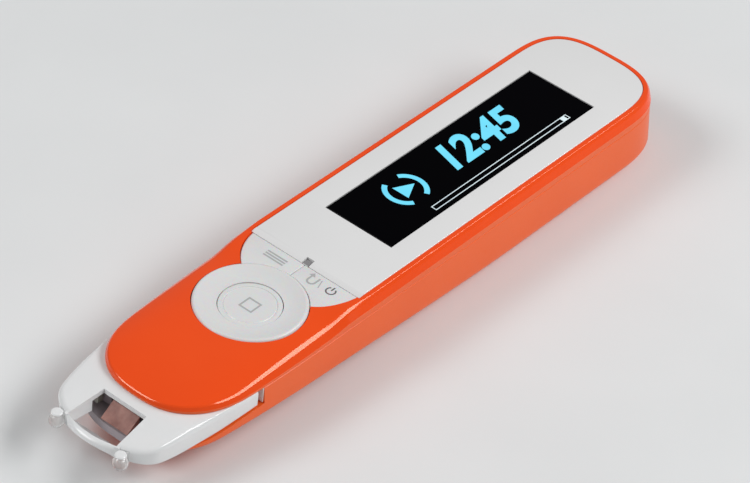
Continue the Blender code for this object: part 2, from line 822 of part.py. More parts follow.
def make_lower_case():
    """Shell hollowed for battery, board, speaker and optics."""
    shell = lower_shell()
    cut(shell, tip_room())

    rear_front_x = notch_x() + CASE_WALL
    bays = []
    for inset, height in (
        (BELLY_CORNER_IN, floor_height),
        (CASE_WALL, lambda x: floor_height(x) + BELLY_CORNER_UP),
        (CASE_WALL, flat(ABOVE)),
    ):
        bays.append(ring(case_plan(rear_front_x, inset=inset), height))
    cut(shell, loft("rear_bay", bays))

    front_x = TIP_X + CORE_FRONT_FROM_TIP + CORE_WALL
    inset = TIP_WALL + CORE_CLEARANCE + CORE_WALL
    bay = case_plan(front_x, inset=inset, end_x=rear_front_x + OVERRUN)
    low = ring(bay, lambda x: belly_height(x) + FRONT_FLOOR)
    cut(shell, loft("optics_bay", [low, ring(bay, flat(ABOVE))]))

    for x, y in post_places():
        foot = belly_height(x) + CASE_WALL / 2
        boss = prism("boss", circle(BOSS_RADIUS, centre=(x, y)), foot, POST_FOOT_HEIGHT - GAP)
        add(shell, boss)
        cut(shell, prism("screw_hole", circle(PILOT_RADIUS, centre=(x, y)), -OVERRUN, ABOVE))
        sink = circle(SCREW_HEAD_RADIUS + GAP, centre=(x, y))
        cut(shell, prism("screw_sink", sink, -OVERRUN, BOSS_FOOT))

    seat_high = floor_height(speaker_x())
    seat_half = SPEAKER_WIDTH / 2 + GAP
    add(shell, block("speaker_seat", speaker_x() - GAP, speaker_x() + SPEAKER_LENGTH + GAP,
                     -seat_half, seat_half, CASE_WALL, seat_high))
    slot_x = speaker_x() + SPEAKER_LENGTH / 2
    for k in range(SLOT_COUNT):
        x = slot_x + (k - (SLOT_COUNT - 1) / 2) * SLOT_PITCH
        cut(shell, block("sound_slot", x - SLOT_WIDTH / 2, x + SLOT_WIDTH / 2,
                         -SLOT_LENGTH / 2, SLOT_LENGTH / 2, -OVERRUN, seat_high + OVERRUN))

    for side in (1, -1):
        outer = side * half_width(lug_x())
        near, far = sorted((side * LUG_REACH, outer))
        cut(shell, block("lug_slot", lug_x() - GAP, lug_x() + LUG_LENGTH + TIP_TRAVEL + GAP,
                         near, far, LUG_BOTTOM - GAP, ABOVE))
        rib_inner = side * (SPRING_OUT - SPRING_RADIUS - SPRING_WIRE)
        rib_outer = side * (half_width(rib_x()) - CASE_WALL - CORE_WALL)
        near, far = sorted((rib_inner, rib_outer))
        add(shell, block("spring_rib", rib_x(), rib_x() + RIB_THICKNESS, near, far,
                         belly_height(rib_x()) + CASE_WALL / 2, LUG_TOP))

    eye = TUNNEL_HALF_WIDTH + GAP
    cut(shell, block("eye_slot", TIP_X, front_x + OVERRUN, -eye, eye, TUNNEL_BOTTOM - GAP, ABOVE))

    usb_low = usb_height() - GAP
    cut(shell, block("usb_mouth", REAR_X - JACK_NECK, REAR_X + OVERRUN,
                     -USB_OFFSET - USB_WIDTH / 2 - GAP, -USB_OFFSET + USB_WIDTH / 2 + GAP,
                     usb_low, usb_low + USB_HEIGHT + 2 * GAP))
    cut(shell, rod_along_x("jack_mouth", JACK_COLLAR_RADIUS + GAP, REAR_X - JACK_NECK,
                           REAR_X + OVERRUN, JACK_OFFSET, jack_height()))


def lug_x():
    """Front of the lugs on the tip's side strips."""
    return TIP_X + LUG_FROM_TIP


def rib_x():
    """Front of the ribs that the tip springs push against."""
    return lug_x() + LUG_LENGTH + GAP + SPRING_LENGTH + GAP


def speaker_x():
    """Front end of the speaker."""
    return TIP_X + SPEAKER_FROM_TIP


def usb_height():
    """Underside of the charging socket, which hangs under the board."""
    return BOARD_TOP - BOARD_THICKNESS - GAP - USB_HEIGHT


def jack_height():
    """Height of the headphone socket's axis."""
    return BOARD_TOP - BOARD_THICKNESS - GAP - JACK_HEIGHT / 2


# Face plate and display


def make_face_plate():
    """White plate with a bevelled step edge and a sunk seat for the window."""
    bottom = PEN_HEIGHT - PLATE_THICKNESS
    base = case_plan(STEP_X, inset=PLATE_INSET)
    crest = case_plan(STEP_X + PLATE_CHAMFER, inset=PLATE_INSET + PLATE_EDGE)
    rings = [ring(base, flat(bottom)), ring(base, flat(PEN_HEIGHT - PLATE_EDGE_DROP))]
    rings.append(ring(crest, flat(PEN_HEIGHT)))
    plate = loft("face_plate", rings, WHITE)
    low, high = window_ends()
    seat = GAP + WINDOW_WIDTH / 2
    cut(plate, block("window_seat", low - GAP, high + GAP, -seat, seat,
                     PEN_HEIGHT - WINDOW_THICKNESS - GAP, ABOVE))
    sill = WINDOW_WIDTH / 2 - WINDOW_SILL
    cut(plate, block("window_light", low + WINDOW_SILL, high - WINDOW_SILL, -sill, sill,
                     bottom - OVERRUN, ABOVE))
    notch = LED_WIDTH / 2 + GAP
    cut(plate, block("light_notch", STEP_X - OVERRUN, STEP_X + LED_LENGTH + GAP, -notch, notch,
                     bottom - OVERRUN, ABOVE))


def window_ends():
    """Front and rear of the display window."""
    low = STEP_X + WINDOW_FROM_STEP
    return low, REAR_X - WINDOW_FROM_REAR


def make_display():
    """Glass, foam gasket, panel, carrier and the folded flex behind the panel."""
    low, high = window_ends()
    half = WINDOW_WIDTH / 2
    glass_bottom = PEN_HEIGHT - WINDOW_THICKNESS
    glass = block("display_window", low, high, -half, half, glass_bottom, PEN_HEIGHT, BLACK_GLASS)
    soften(glass, WINDOW_EDGE, 1)

    panel_low = low + PANEL_MARGIN
    panel_high = high - PANEL_MARGIN
    panel_half = half - PANEL_MARGIN
    gasket_top = PEN_HEIGHT - PLATE_THICKNESS - GAP
    gasket_bottom = gasket_top - GASKET_THICKNESS
    gasket = block("display_gasket", panel_low, panel_high, -panel_half, panel_half,
                   gasket_bottom, gasket_top, FOAM)
    light = half - WINDOW_SILL
    cut(gasket, block("gasket_light", low + WINDOW_SILL, high - WINDOW_SILL, -light, light,
                      gasket_bottom - OVERRUN, gasket_top + OVERRUN))
    panel_top = gasket_bottom - GAP
    panel_bottom = panel_top - PANEL_THICKNESS
    panel = block("display_panel", panel_low, panel_high, -panel_half, panel_half,
                  panel_bottom, panel_top, BLACK_GLASS)
    soften(panel, WINDOW_EDGE, 1)

    carrier_top = panel_bottom - GAP
    carrier_bottom = BOARD_TOP + GAP
    carrier = block("display_carrier", panel_low, panel_high, -panel_half, panel_half,
                    carrier_bottom, carrier_top, SILICONE)
    relief = panel_half - CASE_WALL
    for k in range(CARRIER_WINDOWS):
        pitch = (panel_high - panel_low) / CARRIER_WINDOWS
        x = panel_low + pitch * k + CASE_WALL
        cut(carrier, block("carrier_window", x, x + pitch - 2 * CASE_WALL, -relief, relief,
                           carrier_bottom - OVERRUN, carrier_top + OVERRUN))

    low_leg = BOARD_TOP + GAP
    high_leg = panel_bottom + PANEL_THICKNESS / 2
    radius = (high_leg - low_leg) / 2 + FLEX_THICKNESS / 2
    centre_x = panel_high + GAP + FLEX_REACH - radius
    outer = []
    inner = []
    for k in range(CORNER_STEPS + 1):
        angle = math.pi / 2 - math.pi * k / CORNER_STEPS
        for side, reach in ((outer, radius), (inner, radius - FLEX_THICKNESS)):
            side.append((centre_x + reach * math.cos(angle),
                         low_leg + radius + reach * math.sin(angle)))
    start = panel_high + GAP
    profile = [(start, outer[0][1])] + outer + [(start, outer[-1][1])]
    profile += [(start, inner[-1][1])] + inner[::-1] + [(start, inner[0][1])]
    along_y("display_flex", profile, -FLEX_WIDTH / 2, FLEX_WIDTH / 2, FLEX_AMBER)


def along_y(name, outline, y_low, y_high, material):
    """An outline in side view, extruded across the pen."""
    made = prism(name, outline, y_low, y_high, material)
    points = [(v.co.x, v.co.z, v.co.y) for v in made.data.vertices]
    for vertex, point in zip(made.data.vertices, points):
        vertex.co = point
    made.data.flip_normals()
    return made


# Navigation pad, centre button and keys


def make_pad():
    """Tilting ring round a centre button, on a pivot web that tilts the other way."""
    hole = BUTTON_RADIUS + GAP
    flange_top = -PAD_FLANGE_DROP
    flange_bottom = flange_top - PAD_FLANGE_THICKNESS
    profile = [
        (hole, -PAD_RECESS_DROP),
        (PAD_RECESS_RADIUS, -PAD_RECESS_DROP),
        (PAD_RECESS_RADIUS, flange_bottom),
        (PAD_FLANGE_RADIUS, flange_bottom),
        (PAD_FLANGE_RADIUS, flange_top),
        (PAD_RADIUS, flange_top),
        (PAD_RADIUS, PAD_PROUD - PAD_EDGE),
        (PAD_RADIUS - PAD_EDGE / 3, PAD_PROUD - PAD_EDGE / 3),
    ]
    for k in range(PAD_DISH_STEPS + 1):
        share = k / PAD_DISH_STEPS
        radius = PAD_RADIUS - PAD_EDGE + (hole - PAD_RADIUS + PAD_EDGE) * share
        profile.append((radius, PAD_PROUD - PAD_DISH * math.sin(math.pi / 2 * share)))
    on_pad(turned_ring("nav_ring", profile, ROUND_STEPS, KEY_WHITE))

    web_top = -PAD_RECESS_DROP - GAP
    web_bottom = web_top - WEB_THICKNESS
    web_profile = [(WEB_HOLE_RADIUS, web_bottom), (WEB_RADIUS, web_bottom)]
    web_profile += [(WEB_RADIUS, web_top), (WEB_HOLE_RADIUS, web_top)]
    web = on_pad(turned_ring("nav_pivot_web", web_profile, ROUND_STEPS // 2, SILICONE))
    for x, y in circle(DOME_RING_RADIUS, 4):
        nub = circle(DOME_RADIUS / 2, ROUND_STEPS // 4, (x, y))
        add(web, on_pad(prism("web_nub", nub, web_bottom - WEB_NUB, web_bottom + WEB_THICKNESS / 2)))

    step = BUTTON_RADIUS - BUTTON_RING_RADIUS
    button = [
        (0, -BUTTON_STEM_DEPTH),
        (DOME_RADIUS, -BUTTON_STEM_DEPTH),
        (DOME_RADIUS, -BUTTON_DEPTH),
        (BUTTON_RADIUS, -BUTTON_DEPTH),
        (BUTTON_RADIUS, BUTTON_PROUD - BUTTON_RING_DEPTH),
        (BUTTON_RADIUS - BUTTON_RING_DEPTH, BUTTON_PROUD),
        (BUTTON_RADIUS - step + BUTTON_RING_DEPTH, BUTTON_PROUD),
        (BUTTON_RING_RADIUS, BUTTON_PROUD - BUTTON_RING_DEPTH),
        (0, BUTTON_PROUD - BUTTON_RING_DEPTH),
    ]
    on_pad(turned("ok_button", button, ROUND_STEPS, KEY_WHITE))


def make_keys():
    """The two wing keys between the pad and the plate, each with a stem."""
    for side, name in ((1, "menu_key"), (-1, "back_power_key")):
        key = over_pad(prism(name, wing_outline(side), -KEY_DEPTH, -KEY_SUNK, KEY_WHITE))
        stem_at = (PAD_FROM_STEP - KEY_STEM_FROM_STEP, side * KEY_STEM_OUT)
        stem = circle(KEY_STEM_RADIUS, centre=stem_at)
        add(key, over_pad(prism("key_stem", stem, -KEY_STEM_DEPTH, -KEY_DEPTH + GAP)))
        soften(key, KEY_EDGE, 1)


def turned_ring(name, profile, steps, material):
    """A ring turned about Z from a closed (radius, height) profile."""
    points = []
    faces = []
    for radius, height in profile:
        points += [(x, y, height) for x, y in circle(radius, steps)]
    rows = len(profile)
    for row in range(rows):
        low = row * steps
        high = (row + 1) % rows * steps
        for i in range(steps):
            j = (i + 1) % steps
            faces.append((low + i, low + j, high + j, high + i))
    return place(name, points, faces, material)


def make_status_light():
    """Clear light pipe between the keys, over its light on the board."""
    x_low = STEP_X
    x_high = x_low + LED_LENGTH
    half = LED_WIDTH / 2
    chip_bottom = BOARD_TOP + GAP
    chip_top = chip_bottom + LED_CHIP_HEIGHT
    block("status_light", x_low, x_high, -half + GAP, half - GAP, chip_bottom, chip_top, LIGHT)
    top = PEN_HEIGHT - PLATE_EDGE_DROP
    pipe = block("status_lens", x_low, x_high, -half, half, chip_top + GAP, top, KEY_WHITE)
    soften(pipe, KEY_EDGE, 1)


def dome_places():
    """Where the snap domes sit on the board, in plan."""
    places = [(PAD_X, 0.0)]
    places += circle(DOME_RING_RADIUS, 4, (PAD_X, 0.0))
    places += [(STEP_X - KEY_STEM_FROM_STEP, side * KEY_STEM_OUT) for side in (1, -1)]
    return places


def make_mat():
    """Silicone key mat over the snap domes."""
    bottom = BOARD_TOP + GAP + DOME_HEIGHT + GAP
    top = bottom + MAT_THICKNESS
    mat = prism("key_mat", circle(MAT_RADIUS, ROUND_STEPS, (PAD_X, 0.0)), bottom, top, SILICONE)
    tab_end = STEP_X - 2 * GAP
    tab = block("mat_tab", PAD_X, tab_end, -MAT_TAB_HALF_WIDTH, MAT_TAB_HALF_WIDTH, bottom, top)
    add(mat, tab)


def make_dome_sheet():
    """Film on the board that holds a metal snap dome under each key."""
    low = BOARD_TOP + GAP
    film_top = low + DOME_FILM
    sheet = prism("dome_sheet", circle(MAT_RADIUS, ROUND_STEPS, (PAD_X, 0.0)), low, film_top, STEEL)
    tab_end = STEP_X - 2 * GAP
    half = MAT_TAB_HALF_WIDTH
    add(sheet, block("film_tab", PAD_X, tab_end, -half, half, low, film_top))
    for x, y in dome_places():
        profile = [(0, 0.0), (DOME_RADIUS, 0.0), (DOME_RADIUS, DOME_FILM * 1.2)]
        profile += [(DOME_RADIUS * DOME_SHOULDER_SHARE, DOME_HEIGHT * DOME_SHOULDER_SHARE)]
        profile += [(0, DOME_HEIGHT)]
        dome = turned("dome", profile, SMALL_ROUND_STEPS, STEEL)
        dome.data.transform(Matrix.Translation((x, y, low)))
        add(sheet, dome)


# Main board and what stands on it


def make_board():
    """Main board with an arm for the scan switch and a tongue for the sockets."""
    top = BOARD_TOP
    bottom = BOARD_TOP - BOARD_THICKNESS
    front = board_front()
    shoulder = REAR_X - BOARD_SHOULDER_FROM_REAR
    tongue_end = shoulder + BOARD_TONGUE_LENGTH
    arm_front = front - BOARD_ARM_LENGTH
    arm_low = -SWITCH_OUT - BOARD_ARM_WIDTH / 2
    arm_high = -SWITCH_OUT + BOARD_ARM_WIDTH / 2
    wide = BOARD_HALF_WIDTH
    narrow = BOARD_TONGUE_HALF_WIDTH
    outline = [
        (arm_front, arm_low), (arm_front, arm_high), (front, arm_high), (front, wide),
        (shoulder, wide), (shoulder, narrow), (tongue_end, narrow), (tongue_end, -narrow),
        (shoulder, -narrow), (shoulder, -wide), (front, -wide), (front, arm_low),
    ]
    board = prism("main_board", outline, bottom, top, BOARD_GREEN)
    for x, y in post_places():
        notch = circle(POST_RADIUS + GAP, centre=(x, y))
        cut(board, prism("post_notch", notch, bottom - OVERRUN, top + OVERRUN))

    below = bottom - GAP
    shield_x = front + SHIELD_FROM_FRONT
    shield = block("shield_can", shield_x, shield_x + SHIELD_LENGTH, -SHIELD_WIDTH / 2,
                   SHIELD_WIDTH / 2, below - SHIELD_HEIGHT, below, STEEL)
    soften(shield, SHIELD_EDGE, 1)

    memory_x = shield_x + SHIELD_LENGTH + CHIP_GAP
    small_x = memory_x + CHIP_SIZE + CHIP_GAP
    for name, x, y, size in (
        ("memory_chip", memory_x, 0.0, CHIP_SIZE),
        ("power_chip", small_x, -CHIP_SIZE, CHIP_SIZE / 2),
        ("audio_chip", small_x, CHIP_SIZE / 2, CHIP_SIZE / 2),
    ):
        block(name, x, x + size, y - size / 2, y + size / 2, below - CHIP_HEIGHT, below)


def board_front():
    """Front edge of the board's full width."""
    return TIP_X + BOARD_FRONT_FROM_TIP


def make_battery():
    """Pouch cell on the floor, with two short leads to its plug on the board."""
    low = battery_x()
    half = BATTERY_WIDTH / 2
    bottom = CASE_WALL + GAP
    cell = block("battery", low, REAR_X - BATTERY_FROM_REAR, -half, half,
                 bottom, bottom + BATTERY_THICKNESS, SILVER_FOIL)
    soften(cell, BATTERY_CORNER, 2)

    plug_rear = low - GAP - PLUG_GAP
    plug_top = BOARD_TOP - BOARD_THICKNESS - GAP
    plug = block("battery_plug", plug_rear - PLUG_LENGTH, plug_rear,
                 half - PLUG_WIDTH, half, plug_top - PLUG_HEIGHT, plug_top, WHITE)
    soften(plug, SHIELD_EDGE, 1)
    for k, name in ((1, "battery_lead_plus"), (2, "battery_lead_minus")):
        rod_along_x(name, LEAD_RADIUS, plug_rear + GAP, low - GAP, half - PLUG_WIDTH * k / 3,
                    plug_top - PLUG_HEIGHT / 2, steps=SMALL_ROUND_STEPS // 2)


def battery_x():
    """Front end of the battery."""
    return speaker_x() + SPEAKER_LENGTH + BATTERY_FROM_SPEAKER


def make_speaker():
    """Flat speaker over the sound slots, on a foam ring."""
    low = speaker_x()
    high = low + SPEAKER_LENGTH
    half = SPEAKER_WIDTH / 2
    bottom = floor_height(low) + GAP
    top = bottom + SPEAKER_GASKET
    gasket = block("speaker_gasket", low, high, -half, half, bottom, top, FOAM)
    cut(gasket, block("speaker_light", low + SPEAKER_RIM, high - SPEAKER_RIM,
                      -half + SPEAKER_RIM, half - SPEAKER_RIM, bottom - OVERRUN, top + OVERRUN))
    speaker = block("speaker", low, high, -half, half, top + GAP, top + GAP + SPEAKER_HEIGHT,
                    BLACK)
    soften(speaker, SPEAKER_EDGE, 2)


def make_sockets():
    """Charging socket and headphone socket, both open at the rear end."""
    low = usb_height()
    high = low + USB_HEIGHT
    mouth = REAR_X - SOCKET_RECESS
    near = -USB_OFFSET - USB_WIDTH / 2
    far = -USB_OFFSET + USB_WIDTH / 2
    shell = block("usb_socket", mouth - USB_LENGTH, mouth, near, far, low, high, STEEL)
    soften(shell, USB_CORNER, 2)
    back = mouth - USB_LENGTH + 2 * USB_SHELL
    room = block("usb_room", back, mouth + OVERRUN, near + USB_SHELL, far - USB_SHELL,
                 low + USB_SHELL, high - USB_SHELL)
    tongue_bottom = (low + high - USB_TONGUE) / 2
    tongue = block("usb_tongue", back - OVERRUN, mouth - 2 * USB_SHELL, near + USB_WIDTH / 4,
                   far - USB_WIDTH / 4, tongue_bottom, tongue_bottom + USB_TONGUE)
    cut(room, tongue)
    cut(shell, room)

    axis = jack_height()
    collar_end = mouth
    body_end = REAR_X - JACK_NECK
    body = block("headphone_socket", mouth - JACK_LENGTH, body_end,
                 JACK_OFFSET - JACK_WIDTH / 2, JACK_OFFSET + JACK_WIDTH / 2,
                 axis - JACK_HEIGHT / 2, axis + JACK_HEIGHT / 2, BLACK)
    add(body, rod_along_x("collar", JACK_COLLAR_RADIUS, body_end - OVERRUN, collar_end,
                          JACK_OFFSET, axis))
    cut(body, rod_along_x("jack_bore", JACK_BORE_RADIUS, mouth - JACK_BORE_DEPTH,
                          mouth + OVERRUN, JACK_OFFSET, axis))


# Clear tip, its feet, springs and switch


def make_tip():
    """Clear hollow nose with a window, an arched mouth and two side strips."""
    front = TIP_X + TIP_BEHIND_FEET
    levels = [(TIP_DRAFT, 0.0)]
    for k in range(TIP_EDGE_STEPS + 1):
        angle = math.pi / 2 * k / TIP_EDGE_STEPS
        share = 1 - TIP_EDGE_SHARE * (1 - math.sin(angle))
        levels.append((TIP_EDGE * (1 - math.cos(angle)), share))
    rings = []
    for inset, share in levels:
        outline = case_plan(front, TIP_RUN, TIP_POWER, inset, STRIP_END_X)
        lift = lambda x, s=share: tip_bottom(x) + (tip_top(x) - tip_bottom(x)) * s
        rings.append(ring(outline, lift))
    nose = loft("clear_tip", rings, CLEAR)

    lip_inset = TIP_WALL
    inner_front = front + TIP_LIP - TIP_WALL
    room = case_plan(inner_front, TIP_RUN, TIP_POWER, lip_inset, STRIP_END_X + OVERRUN)
    roof = ring(room, lambda x: tip_top(x) - TIP_ROOF)
    cut(nose, loft("nose_room", [ring(room, flat(0.0)), roof]))
    lap = case_plan(FASCIA_FRONT_X, FASCIA_RUN, FASCIA_POWER, TIP_ROOF_LAP,
                    STRIP_END_X + OVERRUN)
    cut(nose, prism("fascia_room", lap, CORE_TOP_HEIGHT, ABOVE))

    near = TIP_X + MOUTH_FRONT_FROM_TIP
    far = TIP_X + MOUTH_REAR_FROM_TIP
    window = [(near, MOUTH_FRONT_HALF_WIDTH), (far, MOUTH_REAR_HALF_WIDTH)]
    window += [(x, -y) for x, y in reversed(window)]
    cut(nose, prism("window", window, 0.0, ABOVE))

    arch = []
    spring_line = ARCH_HEIGHT - ARCH_RISE
    for k in range(2 * CORNER_STEPS + 1):
        angle = math.pi * k / (2 * CORNER_STEPS)
        arch.append((ARCH_HALF_WIDTH * math.cos(angle),
                     spring_line + ARCH_RISE * math.sin(angle)))
    arch = [(ARCH_HALF_WIDTH, 0.0)] + arch + [(-ARCH_HALF_WIDTH, 0.0)]
    cut(nose, along_x("arch", arch, TIP_X - OVERRUN, near))

    for side in (1, -1):
        place_xy = (foot_x(), side * FOOT_OUT)
        cap_top = tip_top(foot_x()) + FOOT_CAP_RISE
        cap = circle(FOOT_RADIUS + FOOT_CAP_WALL, ROUND_STEPS // 2, place_xy)
        add(nose, prism("foot_cap", cap, cap_top - FOOT_CAP_DEPTH, cap_top))
        socket = circle(FOOT_RADIUS + GAP, ROUND_STEPS // 2, place_xy)
        cut(nose, prism("foot_socket", socket, 0.0, FOOT_BOTTOM + FOOT_HEIGHT + GAP))
        strip = side * (half_width(lug_x()) - TIP_WALL / 2)
        low_y, high_y = sorted((side * LUG_REACH, strip))
        add(nose, block("lug", lug_x(), lug_x() + LUG_LENGTH, low_y, high_y,
                        LUG_BOTTOM, LUG_TOP))


def along_x(name, outline, x_low, x_high, material=None):
    """An outline in front view, extruded along the pen."""
    made = prism(name, outline, x_low, x_high, material or BLACK)
    points = [(v.co.z, v.co.x, v.co.y) for v in made.data.vertices]
    for vertex, point in zip(made.data.vertices, points):
        vertex.co = point
    return made


def foot_x():
    """Axis of the two feet at the tip's front corners."""
    return TIP_X + FOOT_RADIUS


def make_feet():
    """Two round-ended pegs that the tip slides on over the page."""
    dome = [(0.0, 0.0)]
    for k in range(1, FOOT_STEPS + 1):
        angle = math.pi / 2 * k / FOOT_STEPS
        dome.append((FOOT_RADIUS * math.sin(angle), FOOT_CROWN * (1 - math.cos(angle))))
    dome += [(radius, FOOT_HEIGHT - height) for radius, height in reversed(dome)]
    for side, name in ((1, "foot_left"), (-1, "foot_right")):
        foot = turned(name, dome, SMALL_ROUND_STEPS, CLEAR)
        foot.data.transform(Matrix.Translation((foot_x(), side * FOOT_OUT, FOOT_BOTTOM)))


def make_springs():
    """A small coil spring behind each lug, against its rib."""
    low = lug_x() + LUG_LENGTH + GAP
    for side, name in ((1, "tip_spring_left"), (-1, "tip_spring_right")):
        curve = bpy.data.curves.new(name, "CURVE")
        curve.dimensions = "3D"
        curve.bevel_depth = SPRING_WIRE / 2
        curve.bevel_resolution = 1
        curve.use_fill_caps = True
        line = curve.splines.new("POLY")
        count = SPRING_TURNS * SPRING_POINTS + 1
        line.points.add(count - 1)
        pitch_run = SPRING_LENGTH - SPRING_WIRE
        for k in range(count):
            angle = 2 * math.pi * k / SPRING_POINTS
            x = low + SPRING_WIRE / 2 + pitch_run * k / (count - 1)
            y = side * SPRING_OUT + SPRING_RADIUS * math.cos(angle)
            z = SPRING_AXIS_HEIGHT + SPRING_RADIUS * math.sin(angle)
            line.points[k].co = (x, y, z, 1.0)
        coil = bpy.data.objects.new(name, curve)
        coil.data.materials.append(STEEL)
        bpy.context.collection.objects.link(coil)


def make_scan_switch():
    """Switch on the board's arm, with the plunger that the tip's lug pushes."""
    bottom = BOARD_TOP + GAP
    top = bottom + SWITCH_HEIGHT
    rear = board_front() - SWITCH_FROM_BOARD
    front = rear - SWITCH_LENGTH
    body = block("scan_switch", front, rear, -SWITCH_OUT - SWITCH_WIDTH / 2,
                 -SWITCH_OUT + SWITCH_WIDTH / 2, bottom, top, BLACK)
    axis = (bottom + top) / 2
    start = lug_x() + LUG_LENGTH + GAP
    end = start + PLUNGER_LENGTH
    bore_end = end + TIP_TRAVEL + GAP
    bore_radius = PLUNGER_RADIUS + GAP / 2
    cut(body, rod_along_x("switch_bore", bore_radius, front - OVERRUN, bore_end,
                          -SWITCH_OUT, axis, steps=SMALL_ROUND_STEPS // 2))
    plunger = rod_along_x("switch_plunger", PLUNGER_RADIUS, 0.0, PLUNGER_LENGTH, 0.0, 0.0,
                          WHITE, SMALL_ROUND_STEPS // 2)
    plunger.location = (start, -SWITCH_OUT, axis)


# Optics behind the tip's window


def make_optics():
    """Dark bezel and light tunnel, lens in its barrel, image sensor, scan lights."""
    face_x = TIP_X + CORE_FRONT_FROM_TIP - GAP
    tunnel_end = face_x + TUNNEL_LENGTH
    tunnel_top = TUNNEL_BOTTOM + TUNNEL_HEIGHT
    housing = block("optics_housing", face_x - BEZEL_THICKNESS, face_x, -BEZEL_HALF_WIDTH,
                    BEZEL_HALF_WIDTH, TUNNEL_BOTTOM, tunnel_top, BLACK)
    add(housing, block("tunnel", face_x - GAP, tunnel_end, -TUNNEL_HALF_WIDTH,
                       TUNNEL_HALF_WIDTH, TUNNEL_BOTTOM, tunnel_top))
    half = TUNNEL_HALF_WIDTH - TUNNEL_WALL
    cut(housing, block("light_path", face_x - BEZEL_THICKNESS - OVERRUN, tunnel_end + OVERRUN,
                       -half, half, TUNNEL_BOTTOM + TUNNEL_WALL, tunnel_top - TUNNEL_WALL))

    axis = TUNNEL_BOTTOM + TUNNEL_HEIGHT / 2
    barrel_x = tunnel_end + GAP
    barrel_end = barrel_x + LENS_BARREL_LENGTH
    barrel = rod_along_x("lens_barrel", LENS_BARREL_RADIUS, barrel_x, barrel_end, 0.0, axis)
    bore = LENS_RADIUS + GAP / 2
    cut(barrel, rod_along_x("lens_bore", bore, barrel_x - OVERRUN, barrel_end + OVERRUN,
                            0.0, axis))
    lens = turned("scan_lens", [(0, 0.0), (LENS_RADIUS, LENS_THICKNESS / 3),
                                (LENS_RADIUS, LENS_THICKNESS * 2 / 3), (0, LENS_THICKNESS)],
                  SMALL_ROUND_STEPS, LENS_GLASS)
    middle = (barrel_x + barrel_end - LENS_THICKNESS) / 2
    turn = Matrix.Translation((middle, 0.0, axis)) @ Matrix.Rotation(math.pi / 2, 4, "Y")
    lens.data.transform(turn)

    sensor_x = barrel_end + GAP
    block("sensor_board", sensor_x, sensor_x + SENSOR_THICKNESS, -SENSOR_HALF_WIDTH,
          SENSOR_HALF_WIDTH, axis - SENSOR_HEIGHT / 2, axis + SENSOR_HEIGHT / 2, BOARD_GREEN)

    front = face_x - BEZEL_THICKNESS - GAP
    half = SCAN_LIGHT_SIZE / 2
    for side, name in ((1, "scan_light_left"), (-1, "scan_light_right")):
        middle = side * SCAN_LIGHT_OUT
        block(name, front - SCAN_LIGHT_SIZE, front, middle - half, middle + half,
              axis - half, axis + half, LIGHT)

    low_x = front - GUIDE_LENGTH
    profile = [
        (front, GUIDE_TOP), (low_x, GUIDE_BOTTOM),
        (low_x + GUIDE_THICKNESS, GUIDE_BOTTOM - GUIDE_THICKNESS / 3),
        (front, GUIDE_TOP - 2 * GUIDE_THICKNESS),
    ]
    along_y("light_guide", profile, -GUIDE_HALF_WIDTH, GUIDE_HALF_WIDTH, AMBER)


# Fasteners


def make_screws():
    """Four case screws, driven up from the belly into the upper case's posts."""
    head_top = SCREW_SUNK + SCREW_HEAD_HEIGHT
    profile = [
        (0, SCREW_SUNK + SCREW_DRIVE_DEPTH),
        (SCREW_DRIVE_RADIUS, SCREW_SUNK + SCREW_DRIVE_DEPTH),
        (SCREW_DRIVE_RADIUS, SCREW_SUNK),
        (SCREW_HEAD_RADIUS, SCREW_SUNK),
        (SCREW_HEAD_RADIUS, head_top),
        (SCREW_SHANK_RADIUS, head_top),
        (SCREW_SHANK_RADIUS, head_top + SCREW_LENGTH),
        (0, head_top + SCREW_LENGTH),
    ]
    for k, (x, y) in enumerate(post_places()):
        screw = turned(f"case_screw_{k + 1}", profile, SMALL_ROUND_STEPS, STEEL)
        screw.data.transform(Matrix.Translation((x, y, 0.0)))


make_upper_case()
make_lower_case()
make_face_plate()
make_display()
make_pad()
make_keys()
make_status_light()
make_mat()
make_dome_sheet()
make_board()
make_battery()
make_speaker()
make_sockets()
make_tip()
make_feet()
make_springs()
make_scan_switch()
make_optics()
make_screws()
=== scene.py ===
import math

import bmesh
import bpy
from mathutils import Matrix, Vector


